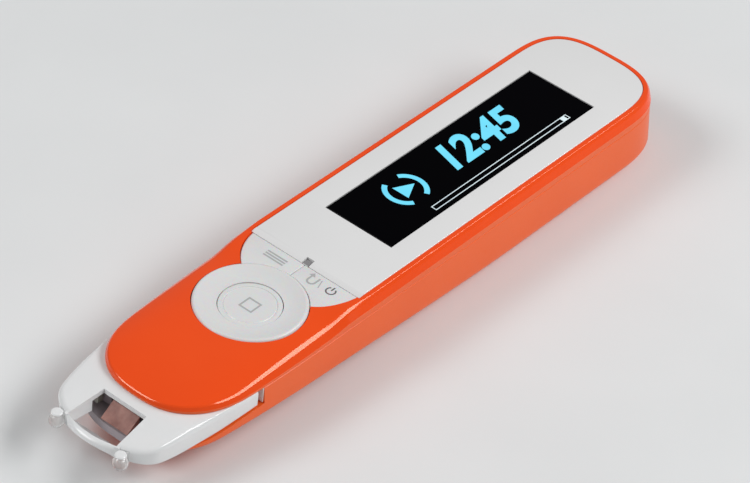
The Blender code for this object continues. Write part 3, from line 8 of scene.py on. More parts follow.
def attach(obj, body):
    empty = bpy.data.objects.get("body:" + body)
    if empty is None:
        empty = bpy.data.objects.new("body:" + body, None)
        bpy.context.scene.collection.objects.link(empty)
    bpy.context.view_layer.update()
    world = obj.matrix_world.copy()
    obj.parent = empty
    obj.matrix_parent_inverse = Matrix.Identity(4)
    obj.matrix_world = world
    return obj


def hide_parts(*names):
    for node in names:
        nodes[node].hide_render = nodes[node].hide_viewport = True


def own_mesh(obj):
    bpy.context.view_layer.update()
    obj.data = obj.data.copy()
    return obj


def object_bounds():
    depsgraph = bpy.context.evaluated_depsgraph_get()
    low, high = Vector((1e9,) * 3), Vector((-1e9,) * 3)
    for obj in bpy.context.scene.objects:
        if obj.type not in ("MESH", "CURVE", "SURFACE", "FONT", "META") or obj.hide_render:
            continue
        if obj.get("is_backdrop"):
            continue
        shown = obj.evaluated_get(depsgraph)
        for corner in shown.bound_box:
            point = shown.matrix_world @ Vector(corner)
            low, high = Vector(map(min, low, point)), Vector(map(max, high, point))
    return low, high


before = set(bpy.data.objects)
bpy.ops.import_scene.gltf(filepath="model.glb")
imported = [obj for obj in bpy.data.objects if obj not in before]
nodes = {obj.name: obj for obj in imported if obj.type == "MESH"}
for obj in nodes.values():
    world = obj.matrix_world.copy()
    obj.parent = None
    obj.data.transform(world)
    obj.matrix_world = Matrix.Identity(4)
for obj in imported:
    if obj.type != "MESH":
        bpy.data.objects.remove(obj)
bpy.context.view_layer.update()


# Camera: a long lens above the pen's near front corner, tipped a little to one side,
# as the photograph was taken.
def placed(name, data):
    """A new object in the scene that shows some data."""
    made = bpy.data.objects.new(name, data)
    bpy.context.scene.collection.objects.link(made)
    return made


camera_data = bpy.data.cameras.new("camera")
camera_data.lens = 168
camera_data.sensor_width = 36
camera_data.clip_start = 0.01
camera_data.clip_end = 20
camera = placed("camera", camera_data)
aim, distance = Vector((-0.003595, -0.00433, 0.013)), 0.5732
turn, rise, roll = math.radians(-53.61), math.radians(39.56), math.radians(6.28)
back = Vector((math.sin(turn) * math.cos(rise), -math.cos(turn) * math.cos(rise), math.sin(rise)))
level_right = Vector((math.cos(turn), math.sin(turn), 0))
level_up = back.cross(level_right)
right = math.cos(roll) * level_right + math.sin(roll) * level_up
up = math.cos(roll) * level_up - math.sin(roll) * level_right
facing = Matrix((right, up, back)).transposed().to_4x4()
camera.matrix_world = Matrix.Translation(aim + back * distance) @ facing
bpy.context.scene.camera = camera


# Studio: a rectangular soft box on each side of the camera, the right one much stronger,
# with a little white light from all round.
bpy.context.scene.view_settings.view_transform = "Standard"
world = bpy.data.worlds.new("studio")
world.use_nodes = True
background = world.node_tree.nodes["Background"]
background.inputs["Color"].default_value = (1.0, 1.0, 1.0, 1.0)
background.inputs["Strength"].default_value = 0.24
bpy.context.scene.world = world


def softbox(name, place, width, height, power):
    """A rectangular soft light that faces the pen."""
    data = bpy.data.lights.new(name, "AREA")
    data.shape = "RECTANGLE"
    data.size = width
    data.size_y = height
    data.energy = power
    lamp = placed(name, data)
    lamp.location = place
    lamp.rotation_euler = (-Vector(place)).to_track_quat("-Z", "Y").to_euler()


softbox("right_softbox", place=(0.41, -0.56, 0.65), width=0.88, height=0.30, power=6.3)
softbox("left_softbox", place=(-0.50, 0.42, 0.57), width=0.40, height=0.30, power=2.9)


# Paper floor: a wide sheet of matt, very pale paper, a tenth of a millimetre below the
# pen's belly. It belongs to the studio and not to the pen.
def made_material(name):
    """A new material and its shader, node tree and object coordinates."""
    made = bpy.data.materials.new(name)
    made.use_nodes = True
    tree = made.node_tree
    where = tree.nodes.new("ShaderNodeTexCoord")
    return made, tree.nodes["Principled BSDF"], tree, where.outputs["Object"]


def noise(tree, where, scale, detail=3.0, stretch=None):
    """A noise value over the object, with an optional stretch along its axes."""
    texture = tree.nodes.new("ShaderNodeTexNoise")
    texture.inputs["Scale"].default_value = scale
    texture.inputs["Detail"].default_value = detail
    if stretch:
        mapping = tree.nodes.new("ShaderNodeMapping")
        mapping.inputs["Scale"].default_value = stretch
        tree.links.new(where, mapping.inputs["Vector"])
        where = mapping.outputs["Vector"]
    tree.links.new(where, texture.inputs["Vector"])
    return texture.outputs["Fac"]


NOISE_LOW, NOISE_HIGH = 0.3, 0.7


def spread(tree, value, start, end, low=0.0, high=1.0, rule="LINEAR"):
    """A value that goes from low to high as another goes from start to end."""
    ranged = tree.nodes.new("ShaderNodeMapRange")
    ranged.interpolation_type = rule
    for socket, number in (("From Min", start), ("From Max", end), ("To Min", low), ("To Max", high)):
        ranged.inputs[socket].default_value = number
    tree.links.new(value, ranged.inputs["Value"])
    return ranged.outputs["Result"]


def tint(tree, value, first, second):
    """A colour from the first to the second as the noise goes over its usual range."""
    ramp = tree.nodes.new("ShaderNodeValToRGB")
    for element, colour, place in zip(ramp.color_ramp.elements, (first, second), (NOISE_LOW, NOISE_HIGH)):
        element.color = (*colour, 1)
        element.position = place
    tree.links.new(value, ramp.inputs["Fac"])
    return ramp.outputs["Color"]


def moulded(name, first, second, gloss, coarse=60.0, fine=2600.0, grain=0.02, depth=0.00002,
            fixed=(), stretch=None):
    """A faint drift between two colours, a grain in the roughness and a slight ripple.

    coarse and fine are the scales of the drift and of the grain, gloss is the roughness
    from low to high, and fixed holds shader sockets with values of their own.
    """
    made, shader, tree, where = made_material(name)
    drift = noise(tree, where, coarse)
    grains = noise(tree, where, fine, detail=2.0, stretch=stretch)
    tree.links.new(tint(tree, drift, first, second), shader.inputs["Base Color"])
    tree.links.new(spread(tree, grains, NOISE_LOW, NOISE_HIGH, *gloss), shader.inputs["Roughness"])
    bump = tree.nodes.new("ShaderNodeBump")
    bump.inputs["Strength"].default_value = grain
    bump.inputs["Distance"].default_value = depth
    tree.links.new(grains, bump.inputs["Height"])
    tree.links.new(bump.outputs["Normal"], shader.inputs["Normal"])
    for socket, number in fixed:
        shader.inputs[socket].default_value = number
    return made


floor_half, floor_drop = 3.0, 0.0001
floor_data = bpy.data.meshes.new("paper_floor")
floor_data.from_pydata([(x * floor_half, y * floor_half, -floor_drop)
                        for x, y in ((-1, -1), (1, -1), (1, 1), (-1, 1))], [], [(0, 1, 2, 3)])
floor_sheet = placed("paper_floor", floor_data)
floor_data.materials.append(moulded("paper", (0.77, 0.785, 0.79), (0.80, 0.815, 0.82), (0.7, 0.8),
                                    coarse=25.0, fine=900.0, grain=0.05, depth=0.0002))
floor_sheet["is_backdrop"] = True


# Upper case: the glossy orange fascia round the pad and the rim round the white plate,
# one ABS moulding, 1.3 mm thick, polished on top with a soft rolled shoulder.
# It drops onto the lower case and is screwed from below.
TIP_X, FASCIA_X, STEP_X, REAR_X = -0.0675, -0.0562, -0.0160, 0.0670
HALF_WIDTH, PEN_TOP, PARTING = 0.0134, 0.0130, 0.0099
GAP = 0.0003
PAD_X, PAD_RADIUS = -0.0293, 0.0095
TAPER_RUN, TIP_SHARE, TAPER_POWER = 0.042, 0.60, 0.6
LEDGE_X, LEDGE_RUN, LEDGE_DROP, LEDGE_SIDE_DROP = -0.0185, 0.0075, 0.0002, 0.00135
SLOPE_X, SLOPE_RUN, SLOPE_FALL, SIDE_SLOPE = -0.026, 0.0302, 0.0023, math.radians(3.5)
BELLY_RISE_X, BELLY_RUN, BELLY_RISE = 0.025, 0.075, 0.0034


def half_width(x):
    """Half the case's width, narrower towards the tip."""
    run = min(max((x - TIP_X) / TAPER_RUN, 0.0), 1.0)
    return HALF_WIDTH * (TIP_SHARE + (1 - TIP_SHARE) * math.sin(math.pi / 2 * run**TAPER_POWER))


def eased(run):
    """A share from 0 to 1 that starts and ends level."""
    run = min(max(run, 0.0), 1.0)
    return run * run * (3 - 2 * run)


def top_height(x):
    """Height of the top along its middle."""
    run = max(SLOPE_X - x, 0.0) / SLOPE_RUN
    return PEN_TOP - LEDGE_DROP * eased((LEDGE_X - x) / LEDGE_RUN) - SLOPE_FALL * run**3


def top_surface(x, y):
    """Height of the top anywhere, with its crown across."""
    slope = max(SLOPE_X - x, 0.0) * math.tan(SIDE_SLOPE)
    side = PEN_TOP - LEDGE_SIDE_DROP * eased((LEDGE_X - x) / LEDGE_RUN) - slope
    return top_height(x) - (top_height(x) - side) * abs(y / HALF_WIDTH)**4


def belly_height(x):
    """Height of the belly, which rises towards the tip."""
    return BELLY_RISE * eased((BELLY_RISE_X - x) / BELLY_RUN)


def quarter(steps):
    """Cosine and sine at each step of a quarter turn."""
    angles = [math.pi / 2 * k / steps for k in range(steps + 1)]
    return [(math.cos(angle), math.sin(angle)) for angle in angles]


def end_curve(run, power, steps=26):
    """Steps along and shares across a rounded end, from its middle out."""
    ends = []
    for k, (c, s) in enumerate(quarter(steps)):
        along = c ** (2 / power) if k < steps else 0.0
        ends.append((run * (1 - along), s ** (2 / power)))
    return ends


REAR_RUN, REAR_POWER = 0.014, 3.0
SHARPEST_MITRE = 0.5


def case_plan(front_x, front_run=0.0, power=0.0, inset=0.0, end_x=None, side_steps=64):
    """A closed plan outline along the case's side, moved in by inset.

    Its front is square, or round over front_run. It ends square at end_x, or else at
    the rear end's own curve.
    """
    half = []
    if front_run:
        for along, share in end_curve(front_run, power):
            half.append((front_x + along, half_width(front_x + along) * share))
    else:
        corner = front_x - inset
        half += [(corner, 0.0), (corner, half_width(corner))]
    low = front_x + front_run
    high = REAR_X - REAR_RUN if end_x is None else end_x
    for k in range(1, side_steps):
        x = low + (high - low) * k / side_steps
        half.append((x, half_width(x)))
    if end_x is None:
        for along, share in reversed(end_curve(REAR_RUN, REAR_POWER)):
            half.append((REAR_X - along, half_width(REAR_X - along) * share))
    else:
        corner = end_x + inset
        half += [(corner, half_width(corner)), (corner, 0.0)]
    loop = [Vector(p) for p in half + [(x, -y) for x, y in reversed(half[1:-1])]]
    moved = []
    for i, here in enumerate(loop):
        edge_in = (here - loop[i - 1]).normalized()
        edge_out = (loop[(i + 1) % len(loop)] - here).normalized()
        normal_in = Vector((edge_in.y, -edge_in.x))
        middle = (normal_in + Vector((edge_out.y, -edge_out.x))).normalized()
        moved.append(tuple(here + middle * (inset / max(middle.dot(normal_in), SHARPEST_MITRE))))
    return moved


def build(name, points, faces, material=None, sharp=30):
    """A mesh object with outward faces, smooth but for its sharp edges."""
    mesh = bpy.data.meshes.new(name)
    mesh.from_pydata([tuple(p) for p in points], [], faces)
    if material:
        mesh.materials.append(material)
    return smoothed(placed(name, mesh), sharp)


def smoothed(piece, sharp=30):
    """Turns the faces outwards and keeps only the sharp edges crisp."""
    mesh = piece.data
    work = bmesh.new()
    work.from_mesh(mesh)
    bmesh.ops.recalc_face_normals(work, faces=work.faces)
    work.to_mesh(mesh)
    work.free()
    mesh.shade_smooth()
    mesh.set_sharp_from_angle(angle=math.radians(sharp))
    return piece


def ring(outline, rule):
    """Plan points lifted to a height or to the height that a rule gives."""
    return [(x, y, rule(x, y) if callable(rule) else rule) for x, y in outline]


def wall(low, high, count):
    """Faces between two closed rings of points, from the numbers of their first points."""
    return [(low + i, low + (i + 1) % count, high + (i + 1) % count, high + i) for i in range(count)]


def crown_faces(points, start, count, crown, strips=24):
    """Closes a ring of points with strips across it that follow a crown."""
    half, last = count // 2, start + count
    rows = [[start] * (strips + 1)]
    for i in range(1, half):
        left, far = points[start + i], points[last - i]
        row = [start + i]
        for k in range(1, strips):
            x = left[0] + (far[0] - left[0]) * k / strips
            y = left[1] + (far[1] - left[1]) * k / strips
            row.append(len(points))
            points.append((x, y, crown(x, y)))
        rows.append(row + [last - i])
    rows.append([start + half] * (strips + 1))
    faces = []
    for near, far in zip(rows, rows[1:]):
        for k in range(strips):
            corners = [near[k], far[k], far[k + 1], near[k + 1]]
            faces.append(tuple(dict.fromkeys(corners)))
    return faces


def loft(name, rings, material=None, crown=None, sharp=30):
    """A closed body from stacked rings whose last half mirrors the first."""
    count = len(rings[0])
    half = count // 2
    points = [p for level in rings for p in level]
    faces = []
    for level in range(len(rings) - 1):
        faces += wall(level * count, (level + 1) * count, count)
    for start in (0, (len(rings) - 1) * count):
        if start and crown:
            faces += crown_faces(points, start, count, crown)
            continue
        middle, last = start + half, start + count
        faces.append((start, start + 1, start + 2, last - 2, last - 1))
        faces.append((middle - 2, middle - 1, middle, middle + 1, middle + 2))
        for i in range(2, half - 2):
            faces.append((start + i, start + i + 1, last - i - 1, last - i))
    return build(name, points, faces, material, sharp)


def prism(name, outline, low, high, material=None):
    """An upright prism from a plan outline."""
    count = len(outline)
    points = [(x, y, low) for x, y in outline] + [(x, y, high) for x, y in outline]
    faces = [tuple(range(count)), tuple(range(count, 2 * count)), *wall(0, count, count)]
    return build(name, points, faces, material)


def oblong(x, y):
    """A rectangle's outline from its low and high along each axis."""
    return [(x[0], y[0]), (x[1], y[0]), (x[1], y[1]), (x[0], y[1])]


def block(name, x, y, z, material=None):
    """A box from its low and high along each axis."""
    return prism(name, oblong(x, y), *z, material)


def circle(radius, centre=(0.0, 0.0), steps=128):
    """Points round a circle."""
    spots = []
    for k in range(steps):
        angle = 2 * math.pi * k / steps
        spots.append((centre[0] + radius * math.cos(angle), centre[1] + radius * math.sin(angle)))
    return spots


def bake(piece, sharp=30):
    """Makes a piece's modifiers part of its mesh."""
    view = bpy.context.evaluated_depsgraph_get()
    mesh = bpy.data.meshes.new_from_object(piece.evaluated_get(view))
    piece.modifiers.clear()
    piece.data = mesh
    return smoothed(piece, sharp)


def carve(piece, *tools, mode="DIFFERENCE", sharp=30):
    """Takes the tools' volumes out of a piece, or adds them to it."""
    for tool in tools:
        change = piece.modifiers.new("carve", "BOOLEAN")
        change.operation = mode
        change.solver = "EXACT"
        change.object = tool
    bake(piece, sharp)
    for tool in tools:
        bpy.data.objects.remove(tool)
    return piece


WING_X, WING_SHIFT, WING_RADIUS = STEP_X + 0.0010, 0.0009, 0.0103


def wing_outline(side, clearance, split, steps=24):
    """Outline of one wing key, grown by a clearance, with its straight edge beside the other.

    Its outer arc stands off the middle by a shift. Where it meets the ring's arc is found
    by halving.
    """
    halvings = 30
    inner, radius = PAD_RADIUS + GAP - clearance, WING_RADIUS + clearance
    end_x = STEP_X - GAP + clearance
    low = start = math.acos((end_x - WING_X) / radius)
    high = math.pi
    for _ in range(halvings):
        angle = (low + high) / 2
        x = WING_X + radius * math.cos(angle) - PAD_X
        if math.hypot(x, WING_SHIFT + radius * math.sin(angle)) > inner:
            low = angle
        else:
            high = angle
    arc = []
    for k in range(steps + 1):
        angle = start + (low - start) * k / steps
        arc.append((WING_X + radius * math.cos(angle), WING_SHIFT + radius * math.sin(angle)))
    meet = math.atan2(arc[-1][1], arc[-1][0] - PAD_X)
    first = math.asin(split / inner)
    for k in range(1, steps + 1):
        angle = meet + (first - meet) * k / steps
        arc.append((PAD_X + inner * math.cos(angle), inner * math.sin(angle)))
    arc.append((end_x, split))
    return [(x, side * y) for x, y in arc]


BEVEL_FRONT_X, BEVEL_REAR_X = -0.026, -0.016
BEVEL_LEVEL, BEVEL_STEEP = 0.68, 0.42
COAT_WEIGHT, PLAIN_SPECULAR, MATT_SPECULAR = 0.35, 0.5, 0.16


def dull_bevel(made):
    """Takes the shine off the steep bevel behind the keys, which the mould leaves unpolished."""
    tree = made.node_tree
    where = tree.nodes["Texture Coordinate"]
    parts = []
    for output in ("Object", "Normal"):
        split = tree.nodes.new("ShaderNodeSeparateXYZ")
        tree.links.new(where.outputs[output], split.inputs["Vector"])
        parts.append(split)
    share = tree.nodes.new("ShaderNodeMath")
    share.operation = "MULTIPLY"
    behind = spread(tree, parts[0].outputs["X"], BEVEL_FRONT_X, BEVEL_REAR_X, rule="SMOOTHSTEP")
    steep = spread(tree, parts[1].outputs["Z"], BEVEL_LEVEL, BEVEL_STEEP, rule="SMOOTHSTEP")
    tree.links.new(behind, share.inputs[0])
    tree.links.new(steep, share.inputs[1])
    for socket, shiny, matt in (("Coat Weight", COAT_WEIGHT, 0.0),
                                ("Specular IOR Level", PLAIN_SPECULAR, MATT_SPECULAR)):
        ranged = spread(tree, share.outputs["Value"], 0.0, 1.0, shiny, matt)
        tree.links.new(ranged, tree.nodes["Principled BSDF"].inputs[socket])


orange = moulded("orange_abs", (0.93, 0.074, 0.005), (0.96, 0.082, 0.007), (0.14, 0.165),
                 fine=900.0, grain=0.008,
                 fixed=(("Coat Weight", COAT_WEIGHT), ("Coat Roughness", 0.06), ("IOR", 1.5),
                        ("Specular Tint", (1.0, 0.74, 0.48, 1))))
dull_bevel(orange)
satin = moulded("orange_satin", (0.90, 0.118, 0.010), (0.93, 0.130, 0.013), (0.30, 0.38),
                grain=0.06, fixed=(("IOR", 1.5),))


def rounded(points, times=2):
    """The same line with its corners cut off a few times."""
    near, far = 0.75, 0.25
    for _ in range(times):
        cut = [points[0]]
        for (a, b), (c, d) in zip(points, points[1:]):
            cut.append((near * a + far * c, near * b + far * d))
            cut.append((far * a + near * c, far * b + near * d))
        points = cut + [points[-1]]
    return points


FRONT_POWER = 2.6
FASCIA_FRONT = (FASCIA_X, 0.0135, FRONT_POWER)
SEAM = PARTING - GAP + 0.00005
TIP_SHOULDER, FULL_SHOULDER_RUN = 0.28, 0.028
REAR_SHOULDER_LOSS, REAR_SHOULDER_X, REAR_SHOULDER_RUN = 0.45, -0.024, 0.012


def shoulder_share(x):
    """Share of its full width that the rolled shoulder has: least at the tip, most by the pad."""
    gain = (1 - TIP_SHOULDER) * eased((x - FASCIA_X) / FULL_SHOULDER_RUN)
    return TIP_SHOULDER + gain - REAR_SHOULDER_LOSS * eased((x - REAR_SHOULDER_X) / REAR_SHOULDER_RUN)


shoulder = rounded([(0.00006, 0.0), (0.0, 0.02), (0.0, 0.32), (0.0, 0.40), (0.00010, 0.45),
                    (0.00072, 0.80), (0.00084, 0.86), (0.00102, 0.90), (0.00138, 0.972),
                    (0.00156, 0.993), (0.0019, 1.0)])
fine_steps = 150
rings = []
for inset, share in shoulder:
    outline = case_plan(*FASCIA_FRONT, side_steps=fine_steps)
    moved = case_plan(*FASCIA_FRONT, inset, side_steps=fine_steps)
    for i, ((x, y), (near_x, near_y)) in enumerate(zip(outline, moved)):
        tight = shoulder_share(x)
        outline[i] = (x + (near_x - x) * tight, y + (near_y - y) * tight)
    rings.append([(x, y, SEAM + (top_surface(x, y) - SEAM) * share) for x, y in outline])
upper = loft("upper_case_shell", rings, orange, crown=top_surface)

OVER, UNDER = 0.02, -0.001
hollow_low, roof = 0.008, 0.001
seat_height, seat_inset = 0.0111, 0.0016
well_step, well_inset = 0.0016, 0.0035
hole_low, pad_clearance, key_split = 0.005, 0.00013, -0.0001
light_x, light_half = (-0.017, -0.0144), 0.0009
hollow_x, hollow_inset = -0.044, 0.0026
hollow = case_plan(hollow_x, inset=hollow_inset, end_x=STEP_X)


def roof_height(x, y):
    """Height of the hollow's roof, a wall below the top."""
    return top_surface(x, y) - roof


carve(
    upper,
    prism("plate_seat", case_plan(STEP_X - GAP, inset=seat_inset), seat_height, OVER),
    prism("plate_well", case_plan(STEP_X + well_step, inset=well_inset), hollow_low, OVER),
    loft("hollow", [ring(hollow, hollow_low), ring(hollow, roof_height)], crown=roof_height),
    prism("pad_hole", circle(PAD_RADIUS + pad_clearance, (PAD_X, 0.0)), hole_low, OVER),
    prism("menu_hole", wing_outline(1, GAP, key_split), hole_low, OVER),
    prism("back_hole", wing_outline(-1, GAP, key_split), hole_low, OVER),
    block("light_hole", light_x, (-light_half, light_half), (hole_low, OVER)),
    sharp=45,
)
upright, satin_top = 0.12, 0.0112
upper.data.materials.append(satin)
for face in upper.data.polygons:
    if abs(face.normal.z) < upright and face.center.z < satin_top:
        face.material_index = 1
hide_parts("upper_case")
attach(upper, "case")


# Lower case: the orange belly shell, satin on its sides, with the notch that the clear
# tip's side strips slide in, socket mouths at the rear end, and sound slots and
# screw sinks below. ABS, 1.3 mm thick.
WALL, NOTCH_X = 0.0013, -0.0402
LOWER_FRONT = (TIP_X + 0.0074, 0.012, FRONT_POWER)
lower_top = PARTING - GAP
belly_inset, belly_corner, belly_outset = 0.0034, 0.0026, 0.0004
edge_break, edge_level, corner_steps, rear_lean = 0.00008, 0.99, 12, 0.0006
levels = [(edge_break, 1.0), (0.0, edge_level)]
for c, s in quarter(corner_steps):
    levels.append((-belly_outset + belly_inset * (1 - c), belly_corner / lower_top * (1 - s)))
rings = []
for inset, share in levels:
    level = []
    for x, y in case_plan(*LOWER_FRONT, inset):
        lean = rear_lean * (1 - share) * eased((x - REAR_X + REAR_RUN) / REAR_RUN)
        low = belly_height(x)
        level.append((x + lean, y, low + (lower_top - low) * share))
    rings.append(level)
lower = loft("lower_case_shell", rings, satin)

STRIP_END_X, LINE_HEIGHT, LINE_SLOPE = -0.0415, 0.0064, 0.077


def tip_line(x):
    """Height of the slanted line where the tip meets the lower case."""
    return LINE_HEIGHT + (x - STRIP_END_X) * LINE_SLOPE


CORE_FRONT = (TIP_X + 0.0096, 0.006, FRONT_POWER)
CORE_TOP, EYE_LOW, EYE_HALF = 0.0082, 0.0056, 0.0043
room_front_x, room_half = -0.069, 0.02
core_inset, neck_inset, neck_low, neck_top = 0.0016, 0.0021, 0.0072, 0.022
room = prism("tip_room", oblong((room_front_x, NOTCH_X), (-room_half, room_half)), 0.0, OVER)
for vertex in room.data.vertices:
    if vertex.co.z == 0:
        vertex.co.z = tip_line(vertex.co.x)
carve(
    room,
    prism("core", case_plan(*CORE_FRONT, core_inset), UNDER, CORE_TOP),
    prism("neck", case_plan(*FASCIA_FRONT, neck_inset), neck_low, neck_top),
)
carve(lower, room)

bay_x, bay_inset, bay_corner, front_floor = NOTCH_X + WALL, 0.0030, 0.0039, 0.001
front_bay_x, front_bay_inset, bay_lap, eye_depth = TIP_X + 0.0123, 0.0027, 0.001, 0.0133
bay = case_plan(bay_x, inset=WALL)
bay_floor = case_plan(bay_x, inset=bay_inset)
front_bay = case_plan(front_bay_x, inset=front_bay_inset, end_x=bay_x + bay_lap)


def above_belly(thickness):
    """A rule for heights that stay at one distance above the belly."""
    return lambda x, y: belly_height(x) + thickness


carve(
    lower,
    loft("rear_bay", [ring(bay_floor, above_belly(WALL)), ring(bay, above_belly(bay_corner)),
                      ring(bay, OVER)]),
    loft("front_bay", [ring(front_bay, above_belly(front_floor)), ring(front_bay, OVER)]),
    block("eye_slot", (TIP_X, TIP_X + eye_depth), (-EYE_HALF, EYE_HALF), (EYE_LOW, OVER)),
)

SCREW_PLACES = ((0.0570, 0.0093), (-0.0144, 0.0094), (0.0570, -0.0093), (-0.0144, -0.0094))
boss_radius, boss_start, boss_top = 0.0022, 0.0006, 0.0046
hole_radius, sink_radius, sink_depth, screw_steps = 0.0009, 0.0018, 0.0018, 64
for place in sorted(SCREW_PLACES, reverse=True):
    foot = belly_height(place[0])
    boss = prism("boss", circle(boss_radius, place, screw_steps), foot + boss_start, boss_top)
    carve(lower, boss, mode="UNION")
    carve(
        lower,
        prism("screw_hole", circle(hole_radius, place, screw_steps), UNDER, OVER),
        prism("screw_sink", circle(sink_radius, place, screw_steps), UNDER, foot + sink_depth),
    )

speaker_x, seat_long, seat_wide, seat_low, seat_top = 0.0020, 0.0073, 0.0058, 0.0014, 0.0027
slot_count, slot_pitch, slot_radius, slot_reach = 5, 0.0018, 0.00045, 0.00305
slot_top, slot_steps = 0.004, 12
seat = block("speaker_seat", (speaker_x - seat_long, speaker_x + seat_long), (-seat_wide, seat_wide),
             (seat_low, seat_top))
carve(lower, seat, mode="UNION")
for k in range(slot_count):
    slot_x = speaker_x + (k - slot_count // 2) * slot_pitch
    slot = []
    for i in range(slot_steps + 1):
        angle = math.pi * i / slot_steps
        slot.append((slot_x + slot_radius * math.cos(angle), slot_reach + slot_radius * math.sin(angle)))
    slot += [(2 * slot_x - x, -y) for x, y in slot]
    carve(lower, prism("sound_slot", slot, UNDER, slot_top))

LUG_INNER = 0.0056
lug_slot_x, lug_slot_low, strip_x = (-0.0473, -0.0443), 0.0063, -0.046
for side in (1, -1):
    slot_y = sorted((side * LUG_INNER, side * half_width(strip_x)))
    carve(lower, block("lug_slot", lug_slot_x, slot_y, (lug_slot_low, OVER)))


def along_x(piece):
    """Turns an upright prism so that its outline stands across the pen."""
    piece.data.transform(Matrix(((0, 0, 1, 0), (1, 0, 0, 0), (0, 1, 0, 0), (0, 0, 0, 1))))
    return piece


socket_x, port_steps = (0.0612, 0.070), 48
port_y, port_z, port_half_width, port_half_height, port_corner = -0.0036, 0.00545, 0.00405, 0.00155, 0.0009
jack_radius, jack_centre, jack_steps = 0.0026, (0.0040, 0.00435), 96
port = []
for k in range(port_steps):
    angle = 2 * math.pi * (k + 0.5) / port_steps
    corner_y = math.copysign(port_half_width - port_corner, math.cos(angle))
    corner_z = math.copysign(port_half_height - port_corner, math.sin(angle))
    port.append((port_y + corner_y + port_corner * math.cos(angle),
                 port_z + corner_z + port_corner * math.sin(angle)))
carve(
    lower,
    along_x(prism("usb_mouth", port, *socket_x)),
    along_x(prism("jack_mouth", circle(jack_radius, jack_centre, jack_steps), *socket_x)),
)
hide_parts("lower_case")
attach(lower, "case")


# Face plate: glossy white plastic, 1.6 mm thick, set flush in the rim, with a bevelled
# front edge towards the keys and a sunk seat for the display glass.
white = moulded("white_abs", (0.80, 0.80, 0.80), (0.82, 0.82, 0.82), (0.16, 0.22),
                fixed=(("Coat Weight", 0.3), ("Coat Roughness", 0.05), ("IOR", 1.5)))
plate_inset, plate_low, bevel_steps = 0.00166, 0.0114, 6
bevel_run, edge_inset, edge_height = 0.0014, 0.0002, 0.00030
rings = [ring(case_plan(STEP_X, inset=plate_inset), plate_low)]
for k, (c, s) in enumerate(quarter(bevel_steps)):
    along, inset = bevel_run * k / bevel_steps, plate_inset + edge_inset * (1 - c)
    rings.append(ring(case_plan(STEP_X + along, inset=inset), PEN_TOP - edge_height * (1 - s)))
plate = loft("face_plate_skin", rings, white)
glass_x, glass_half, glass_seat = (-0.00286, 0.05186), 0.00721, 0.0120
light_opening_x, light_opening_half = (-0.0012, 0.0502), 0.00555
notch_x, notch_half = (-0.017, -0.01452), 0.00078
carve(
    plate,
    block("window_seat", glass_x, (-glass_half, glass_half), (glass_seat, OVER)),
    block("window_light", light_opening_x, (-light_opening_half, light_opening_half), (hole_low, OVER)),
    block("light_notch", notch_x, (-notch_half, notch_half), (hole_low, OVER)),
)
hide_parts("face_plate")
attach(plate, "case")


# Display: black cover glass in the plate's seat, printed black behind. The bright content
# of the screen is laid on it as thin shapes: a play sign, the time played and a progress
# bar, all made up.
def finished(material, *names):
    """Gives solids of the frame a finish of their own."""
    for name in names:
        nodes[name].data.materials.clear()
        nodes[name].data.materials.append(material)


glass = moulded("cover_glass", (0.0008, 0.0007, 0.0012), (0.0012, 0.0010, 0.0018), (0.03, 0.05),
                coarse=20.0, grain=0.0, fixed=(("IOR", 1.09),))
finished(glass, "display_window")


def lit(name, colour, strength):
    """A lit surface whose brightness drifts a little, as a panel's does."""
    brightest, coarse = 1.12, 180.0
    made, shader, tree, where = made_material(name)
    brighter = tuple(min(c * brightest, 1) for c in colour)
    drift = noise(tree, where, coarse)
    tree.links.new(tint(tree, drift, colour, brighter), shader.inputs["Emission Color"])
    shader.inputs["Base Color"].default_value = (0.0, 0.0, 0.0, 1)
    shader.inputs["Emission Strength"].default_value = strength
    shader.inputs["Roughness"].default_value = 0.05
    return made


TYPE_HALF = 0.000008


def words(name, text, size, place, material, thick, slant):
    """Flat digits or signs from Blender's own plain type, as a mesh."""
    curve = bpy.data.curves.new(name, "FONT")
    curve.body = text
    curve.size = size
    curve.shear = slant
    curve.offset = thick
    curve.extrude = TYPE_HALF
    curve.align_x = "CENTER"
    curve.align_y = "CENTER"
    made = placed(name + "_type", curve)
    view = bpy.context.evaluated_depsgraph_get()
    mesh = bpy.data.meshes.new_from_object(made.evaluated_get(view))
    bpy.data.objects.remove(made)
    mesh.transform(Matrix.Translation(place))
    mesh.materials.clear()
    mesh.materials.append(material)
    return placed(name, mesh)


def flat_shape(name, loops, height, material, thick=0.000012):
    """Thin flat shapes from plan outlines, as one piece."""
    points, faces = [], []
    for loop in loops:
        start, count = len(points), len(loop)
        points += [(x, y, height) for x, y in loop] + [(x, y, height + thick) for x, y in loop]
        faces += [tuple(range(start, start + count)), tuple(range(start + count, start + 2 * count))]
        faces += wall(start, start + count, count)
    return build(name, points, faces, material)


def arc_band(centre, radius, width, start, end, steps=48):
    """A band along an arc, as an outline."""
    outside, inside = [], []
    for k in range(steps + 1):
        angle = math.radians(start + (end - start) * k / steps)
        c, s = math.cos(angle), math.sin(angle)
        outside.append((centre[0] + (radius + width / 2) * c, centre[1] + (radius + width / 2) * s))
        inside.append((centre[0] + (radius - width / 2) * c, centre[1] + (radius - width / 2) * s))
    return outside + inside[::-1]


